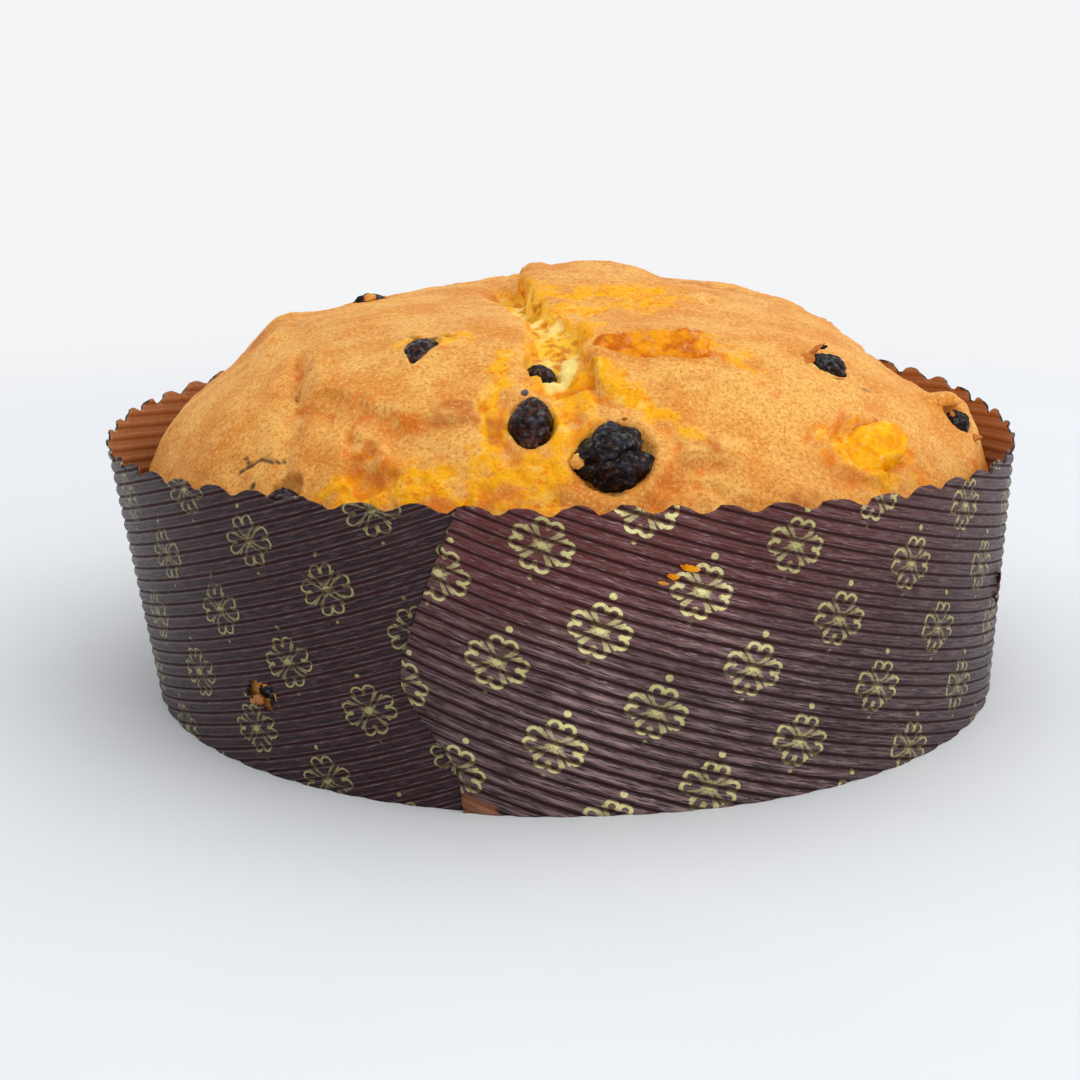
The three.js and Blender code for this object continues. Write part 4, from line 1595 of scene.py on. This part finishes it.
@dataclass
class Cake:
    """The uncut cake: its side up the paper and its domed crust."""

    shoulder: float = 42.0
    rise: float = 46.6
    radius: float = 99.2
    power: float = 3.0
    roundness: float = 0.6
    top_shift: float = -3.5
    foot_shift: float = 1.8
    floor: float = 1.35
    contact: float = 35.0
    paper_gap: float = 1.75
    crust_share: float = 0.9
    onset_rate: float = 12.0
    settling: int = 10
    columns: int = 310
    seed: int = 20

    def share_of(self, x: np.ndarray, y: np.ndarray) -> np.ndarray:
        """How far out a point is, 0 at the dome's axis and 1 at the shoulder.

        Args:
            x: X of the points.
            y: Y of the points.

        Returns:
            One share for each point.
        """
        share = np.hypot(x, y) / self.radius
        for _ in range(self.settling):
            share = np.hypot(x - self._middle(share), y) / self.radius
        return share

    def _middle(self, share: np.ndarray) -> np.ndarray:
        """X of the dome's axis at each ring, as the dome leans."""
        return self.top_shift + (self.foot_shift - self.top_shift) * share**2

    def form(self, x: np.ndarray, y: np.ndarray, share: np.ndarray) -> np.ndarray:
        """Height of the dome with its lobes and hollows.

        Args:
            x: X of the points.
            y: Y of the points.
            share: how far out each point is.

        Returns:
            One height for each point.
        """
        inside = np.clip(1 - np.clip(share, 0, 1) ** self.power, 0, 1)
        lumps = sum(lump.height(x, y) for lump in LUMPS)
        return self.shoulder + self.rise * inside**self.roundness + lumps * self._onset(share)

    def _onset(self, share: np.ndarray) -> np.ndarray:
        """0 at the shoulder, 1 a little way in, so that relief starts gently."""
        return np.clip((1 - share) * self.onset_rate, 0, 1)

    def crust_height(self, x: float, y: float) -> float:
        """Height of the crust over one place."""
        px, py = np.array([x]), np.array([y])
        return float(self.form(px, py, self.share_of(px, py))[0])

    def build(self) -> bpy.types.Object:
        """Models the cake.

        Returns:
            The piece, its traits stored on its points.
        """
        count = self.columns
        piece = Shop.grid("cake_crust", count, count)
        x, y, share, down, angle = self._on_disc(Shop.points(piece)[:, :2])
        points = self._side(np.stack([x, y, self.form(x, y, share)], axis=-1), down, angle)
        normals = self._normals(points.reshape(count, count, 3)).reshape(-1, 3)
        dough = Dough(points, GradientNoise(self.seed))
        for trait, marks in STROKES.items():
            for width, depth, *line in marks:
                Stroke(trait, width, depth, line).press(dough)
        for fruit in RAISINS + PEELS:
            fruit.press(dough)
        dough.wrinkle()
        Shop.place(piece, points + normals * (dough.relief * self._onset(share))[:, None])
        Shop.note(piece, "bake", dough.traits(Trait.TORN, Trait.BROWN, Trait.YELLOW))
        Shop.note(piece, "tint", dough.traits(Trait.ORANGE, Trait.PALE, Trait.DARK))
        Shop.edit(
            piece,
            lambda: bpy.ops.mesh.select_all(action="DESELECT"),
            lambda: bpy.ops.mesh.select_non_manifold(),
            lambda: bpy.ops.mesh.edge_face_add(),
            lambda: bpy.ops.mesh.select_all(action="SELECT"),
            lambda: bpy.ops.mesh.normals_make_consistent(inside=False),
        )
        Shop.smooth(piece)
        return piece

    def dress(self, piece: bpy.types.Object) -> None:
        """Gives the cake its baked crust."""
        settle(piece, "crust", "cake", Crust().make())

    def _side(self, points: np.ndarray, down: np.ndarray, angle: np.ndarray) -> np.ndarray:
        """Carries the outer rings down along the paper.

        Args:
            points: places on the crust.
            down: how far down the side each is, 0 on the crust and 1 at the foot.
            angle: the way each faces, in radians from +X.

        Returns:
            The points, those of the side moved.
        """
        z = self.shoulder + (self.floor - self.shoulder) * down
        wall = CaseWall()
        share = z / wall.height
        radius = wall.foot_radius + (wall.rim_radius - wall.foot_radius) * share - self.paper_gap
        middle = wall.foot_shift * (1 - share)
        on_wall = np.stack([middle + radius * np.cos(angle), radius * np.sin(angle), z], axis=-1)
        inwards = np.clip((self.shoulder - z) / (self.shoulder - self.contact), 0, 1)
        touch = smooth_step(0, 1, inwards)[:, None]
        above = points.copy()
        above[:, 2] = np.where(down > 0, z, points[:, 2])
        return above * (1 - touch) + on_wall * touch

    def _on_disc(self, flat: np.ndarray) -> tuple:
        """Bends the square grid into a disc, its outer rings down the cake's side.

        Args:
            flat: places on the grid, from -1 to 1.

        Returns:
            X and Y, how far out each point is on the crust, how far down the side, and the way it faces.
        """
        a, b = flat[:, 0], flat[:, 1]
        wide = np.abs(a) > np.abs(b)
        reach = np.where(wide, a, b)
        safe = np.where(np.abs(reach) < 1e-9, 1, reach)
        angle = np.where(wide, math.pi / 4 * b / safe, math.pi / 2 - math.pi / 4 * a / safe)
        angle = np.where(reach < 0, angle + math.pi, angle)
        reach = np.abs(reach)
        share = np.sin(np.clip(reach / self.crust_share, 0, 1) * math.pi / 2)
        down = np.clip((reach - self.crust_share) / (1 - self.crust_share), 0, 1)
        x = self._middle(share) + share * self.radius * np.cos(angle)
        return x, share * self.radius * np.sin(angle), share, down, angle

    @staticmethod
    def _normals(points: np.ndarray) -> np.ndarray:
        """Upward normals of a grid of points.

        Args:
            points: array of shape (n, 3), in millimetres.

        Returns:
            One normal for each point.
        """
        rows, columns = np.gradient(points, axis=(0, 1))
        normals = np.cross(columns, rows)
        length = np.linalg.norm(normals, axis=-1, keepdims=True)
        normals = normals / np.maximum(length, 1e-9)
        return np.where(normals[..., 2:3] < 0, -normals, normals)


@dataclass(frozen=True)
class Bit:
    """A small uneven piece that stands for no CAD node."""

    name: str
    stuff: Stuff

    def start(self, half: tuple, seed: int, depth: float, size: float) -> tuple:
        """Models the bit about its own middle.

        Args:
            half: its half sizes.
            seed: where the random draw starts from.
            depth: how uneven it is.
            size: how wide its knobs are against its smaller side.

        Returns:
            The piece, the ways out of its middle and its points.
        """
        piece, ways = Shop.ball(self.name, BIT_STEPS)
        body = ways * np.array(half)
        ragged = 1 + depth * GradientNoise(seed).layered(body, size * min(half[:2]), 2)
        for name in ("bake", "tint"):
            Shop.note(piece, name, np.zeros((len(ways), 3)))
        Shop.smooth(piece)
        return piece, ways, body * ragged[:, None]

    def dress(self, piece: bpy.types.Object) -> None:
        """Gives the bit its material."""
        self.stuff.dress(piece)


@dataclass(frozen=True)
class Scrap(Bit):
    """A torn or stuck bit on the case.

    Its place as an angle, a height and a distance outwards from the ribs, its half sizes along the case,
    upwards and outwards, its turn in degrees and how much it curls, in millimetres.
    """

    angle: float
    z: float
    out: float
    half: tuple
    turn: float = 0.0
    curl: float = 0.0
    seed: int = 1

    def build(self, wall: CaseWall) -> bpy.types.Object:
        """Models the scrap on the wall.

        Args:
            wall: the case that it is on.

        Returns:
            The piece.
        """
        piece, ways, body = self.start(self.half, self.seed, 0.3, 0.8)
        body[:, 2] += self.curl * (ways[:, 0] ** 2 + 0.6 * ways[:, 1])
        turn = math.radians(self.turn)
        along = body[:, 0] * math.cos(turn) - body[:, 1] * math.sin(turn)
        up = body[:, 0] * math.sin(turn) + body[:, 1] * math.cos(turn)
        angle = self.angle + np.degrees(along / wall.rim_radius)
        Shop.place(piece, wall.surface(angle, self.z + up, self.out + body[:, 2]))
        return piece


SCRAPS = (
    Scrap("hole_dark", Stuff.FRUIT, -38.9, 19.4, -1.2, (3.1, 1.9, 0.5), 10, 0, 3),
    Scrap("hole_fruit", Stuff.FRUIT, -37.9, 17.6, -0.7, (1.3, 1.7, 0.7), 20, 0, 4),
    Scrap("hole_shred", Stuff.PAPER, -40.6, 16.9, -0.4, (2.4, 1.2, 0.3), 22, 0.5, 5),
    Scrap("hole_spot", Stuff.PEEL, -38.8, 21.2, -0.3, (0.8, 0.5, 0.4), 0, 0, 6),
    Scrap("hole_edge", Stuff.PAPER, -37.0, 18.8, 0.0, (0.25, 1.9, 0.2), 10, 0.2, 7),
    Scrap("tear_dark", Stuff.FRUIT, 70.0, 28.3, -1.1, (2.0, 2.9, 0.5), 0, 0, 8),
    Scrap("tear_curl", Stuff.MAROON, 69.4, 30.1, 0.2, (0.8, 1.9, 0.3), -30, 0.6, 9),
    Scrap("tear_blob", Stuff.MAROON, 69.0, 27.6, 0.1, (1.5, 0.9, 0.5), 10, 0.3, 10),
    Scrap("tear_cream_top", Stuff.PAPER, 71.3, 30.0, 0.0, (0.5, 1.0, 0.3), 0, 0.2, 11),
    Scrap("tear_cream_low", Stuff.PAPER, 69.6, 26.6, 0.1, (0.6, 0.4, 0.3), 0, 0, 12),
    Scrap("tear_low", Stuff.FRUIT, 69.2, 25.6, 0.0, (0.8, 0.8, 0.4), 0, 0, 13),
    Scrap("smear_one", Stuff.PEEL, 13.6, 52.1, 0.05, (1.9, 0.7, 0.25), -16, 0, 14),
    Scrap("smear_two", Stuff.PEEL, 11.7, 50.6, 0.05, (1.2, 0.6, 0.25), -16, 0, 15),
    Scrap("smear_three", Stuff.CRUMB, 10.6, 49.4, 0.05, (1.1, 0.35, 0.2), -16, 0, 16),
)


@dataclass(frozen=True)
class Flake(Bit):
    """A flake of crust or fruit on the cake.

    Its place, how far its middle lies above the plain crust, its half sizes, its turn and tilt in degrees
    and how much it curls, in millimetres.
    """

    x: float
    y: float
    up: float
    half: tuple
    turn: float
    tilt: float
    curl: float = 0.0
    seed: int = 1

    def build(self, cake: Cake) -> bpy.types.Object:
        """Models the flake on the crust.

        Args:
            cake: the cake that it is on.

        Returns:
            The piece.
        """
        piece, ways, body = self.start(self.half, self.seed, 0.25, 0.9)
        body[:, 2] += self.curl * ways[:, int(self.half[1] > self.half[0])] ** 2
        height = cake.crust_height(self.x, self.y) + self.up
        body = turned(body, (self.tilt, 0, 0), (0, 0, self.turn))
        Shop.place(piece, body + np.array([self.x, self.y, height]))
        return piece


FLAKES = (
    Flake("right_flake", Stuff.TOAST, 54.8, -36.0, 1.6, (0.9, 3.3, 0.45), -62, 50, -1.2, 21),
    Flake("right_flake_tip", Stuff.FRUIT, 57.0, -35.0, 3.3, (1.2, 0.6, 0.35), 14, 20, 0.2, 22),
    Flake("right_flake_foot", Stuff.TOAST, 53.6, -37.2, 0.3, (1.1, 1.8, 0.5), -20, 30, 0.2, 23),
    Flake("edge_cap", Stuff.CRUMB, 86.6, -19.0, 1.6, (4.6, 3.0, 1.3), 20, 10, -0.8, 24),
    Flake("edge_flake", Stuff.TOAST, 92.8, -23.5, 1.0, (1.7, 1.0, 0.6), 20, 30, 0.4, 25),
    Flake("edge_bit", Stuff.TOAST, 87.6, -24.2, 0.9, (0.6, 0.7, 0.4), 10, 50, 0.2, 26),
    Flake("back_bit", Stuff.CRUMB, -44.6, 11.2, 1.0, (1.5, 1.0, 1.0), 0, 0, 0.0, 27),
    Flake("centre_bit", Stuff.LILAC, -7.0, -67.4, 0.7, (0.75, 0.7, 0.5), 0, 40, 0.0, 28),
    Flake("big_bit", Stuff.CRUMB, 3.4, -84.4, 1.2, (1.5, 1.7, 0.6), -20, 50, 0.0, 29),
    Flake("big_speck", Stuff.TOAST, 13.0, -77.6, 3.4, (0.6, 0.4, 0.3), 10, 45, 0.0, 30),
    Flake("rim_bit", Stuff.LILAC, -52.0, -76.6, 0.4, (1.7, 0.8, 0.4), 10, 45, 0.2, 31),
    Flake("right_speck", Stuff.TOAST, 54.6, -37.6, 0.8, (0.6, 0.9, 0.4), 0, 45, 0.0, 32),
)



@dataclass
class CaseFloor:
    """The floor of the case, which is the CAD's own disc."""

    node: str = "paper_floor"

    def build(self) -> bpy.types.Object:
        """Takes the disc from the frame."""
        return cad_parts[self.node]

    @staticmethod
    def dress(piece: bpy.types.Object) -> None:
        """Gives the disc plain brown paper."""
        for slot in piece.material_slots:
            slot.material = Stuff.PAPER.material


@dataclass
class Studio:
    """The plain pale floor, the soft light and the camera."""

    camera_place: tuple = (0.0, -516.65, 171.44)
    yaw: float = -0.531
    pitch: float = 15.287
    roll: float = -0.4
    lens: float = 75.0
    sensor: float = 36.0
    floor_size: float = 20.0
    fade_start: float = 0.3
    fade_end: float = 0.52
    lit: tuple = (0.0, 0.0, 0.05)
    bright_side: tuple = (0.5, 0.4, 0.77)
    turn_from: float = 0.9
    dim: float = 0.6
    bright: float = 0.94
    seen: float = 0.92
    haze: tuple = (0.985, 0.99, 1.0, 1.0)
    black: tuple = (0.0, 0.0, 0.0, 1.0)

    def build(self) -> bpy.types.Object:
        """Sets up the camera, the lamps and a floor that reaches past the picture.

        Returns:
            The floor.
        """
        self._camera()
        self._light("key", (0.4, 0.0, 1.0), 1.4, 3.0)
        self._light("side", (0.8, -0.85, 0.8), 0.9, 2.8)
        Shop.clear_selection()
        bpy.ops.mesh.primitive_plane_add(size=self.floor_size, location=(0, 0, 0))
        return Shop.take("floor")

    def dress(self, floor: bpy.types.Object) -> None:
        """Makes the floor pale, fading into the room's own light.

        Args:
            floor: the floor.
        """
        shader = Shader("pale_floor")
        split = shader.node("ShaderNodeSeparateXYZ", {}, {0: shader.coordinates})
        x, y = Value(shader, split.outputs[0]), Value(shader, split.outputs[1])
        far = (x * x + y * y).root().ramp(self.fade_start, self.fade_end)
        near = shader.mix(shader.noise(60, 2, 0.5), srgb(229, 232, 236), srgb(236, 238, 240))
        shader.set(Base_Color=shader.mix(far, near, self.black), Roughness=0.9, Specular_IOR_Level=0.0)
        shader.set(Emission_Color=shader.mix(far, self.black, self.haze), Emission_Strength=self.seen)
        floor.data.materials.append(shader.material)
        self._world()
        bpy.context.scene.view_settings.view_transform = "Standard"

    def _camera(self) -> None:
        """Places the camera where the picture was taken from."""
        camera = bpy.data.objects.new("camera", bpy.data.cameras.new("camera"))
        bpy.context.collection.objects.link(camera)
        camera.data.lens = self.lens
        camera.data.sensor_width = self.sensor
        camera.data.clip_start = 0.01
        yaw, pitch, roll = (math.radians(a) for a in (self.yaw, self.pitch, self.roll))
        ahead = math.cos(pitch)
        forward = Vector((math.sin(yaw) * ahead, math.cos(yaw) * ahead, -math.sin(pitch)))
        level = Vector((math.cos(yaw), -math.sin(yaw), 0))
        up = level.cross(forward)
        right = level * math.cos(roll) + up * math.sin(roll)
        top = -level * math.sin(roll) + up * math.cos(roll)
        for row in range(3):
            camera.matrix_world[row] = (right[row], top[row], -forward[row], self.camera_place[row] * MM)
        bpy.context.scene.camera = camera

    def _light(self, name: str, place: tuple, size: float, power: float) -> None:
        """Adds one soft square light that faces the cake.

        Args:
            name: the lamp's name.
            place: where it is, in metres.
            size: its width, in metres.
            power: its strength, in watts.
        """
        light = bpy.data.lights.new(name, "AREA")
        light.size = size
        light.energy = power
        lamp = bpy.data.objects.new(name, light)
        lamp.location = place
        lamp.rotation_euler = (Vector(place) - Vector(self.lit)).to_track_quat("Z", "Y").to_euler()
        bpy.context.collection.objects.link(lamp)

    def _world(self) -> None:
        """Fills the room with pale light, less of it from the front left."""
        world = bpy.data.worlds.new("room")
        world.use_nodes = True
        room = Nodes(world.node_tree)
        way = room.node("ShaderNodeTexCoord", {}, {}).outputs["Generated"]
        settings = {"operation": "DOT_PRODUCT"}
        toward = room.node("ShaderNodeVectorMath", settings, {0: way, 1: self.bright_side}).outputs["Value"]
        span = {0: toward, 1: -self.turn_from, 2: self.turn_from, 3: self.dim, 4: self.bright}
        fall = room.node("ShaderNodeMapRange", {"interpolation_type": "SMOOTHSTEP"}, span).outputs[0]
        direct = room.node("ShaderNodeLightPath", {}, {}).outputs["Is Camera Ray"]
        strength = room.node("ShaderNodeMix", {}, {0: direct, 2: fall, 3: self.seen}).outputs[0]
        background = world.node_tree.nodes["Background"]
        room.feed(background.inputs[0], self.haze)
        room.feed(background.inputs[1], strength)
        bpy.context.scene.world = world


def main() -> None:
    """Builds the panettone and its stage."""
    logging.basicConfig(level=logging.INFO)
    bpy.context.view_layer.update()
    studio, wall, cake, floor = Studio(), CaseWall(), Cake(), CaseFloor()
    studio.dress(studio.build())
    wall.dress(wall.build())
    cake.dress(cake.build())
    for finish in SMALL_FINISHES:
        finish.make()
    for fruit in RAISINS + PEELS:
        fruit.dress(fruit.build(cake))
    for scrap in SCRAPS:
        scrap.dress(scrap.build(wall))
    for flake in FLAKES:
        flake.dress(flake.build(cake))
    floor.dress(floor.build())


if __name__ == "__main__":
    main()
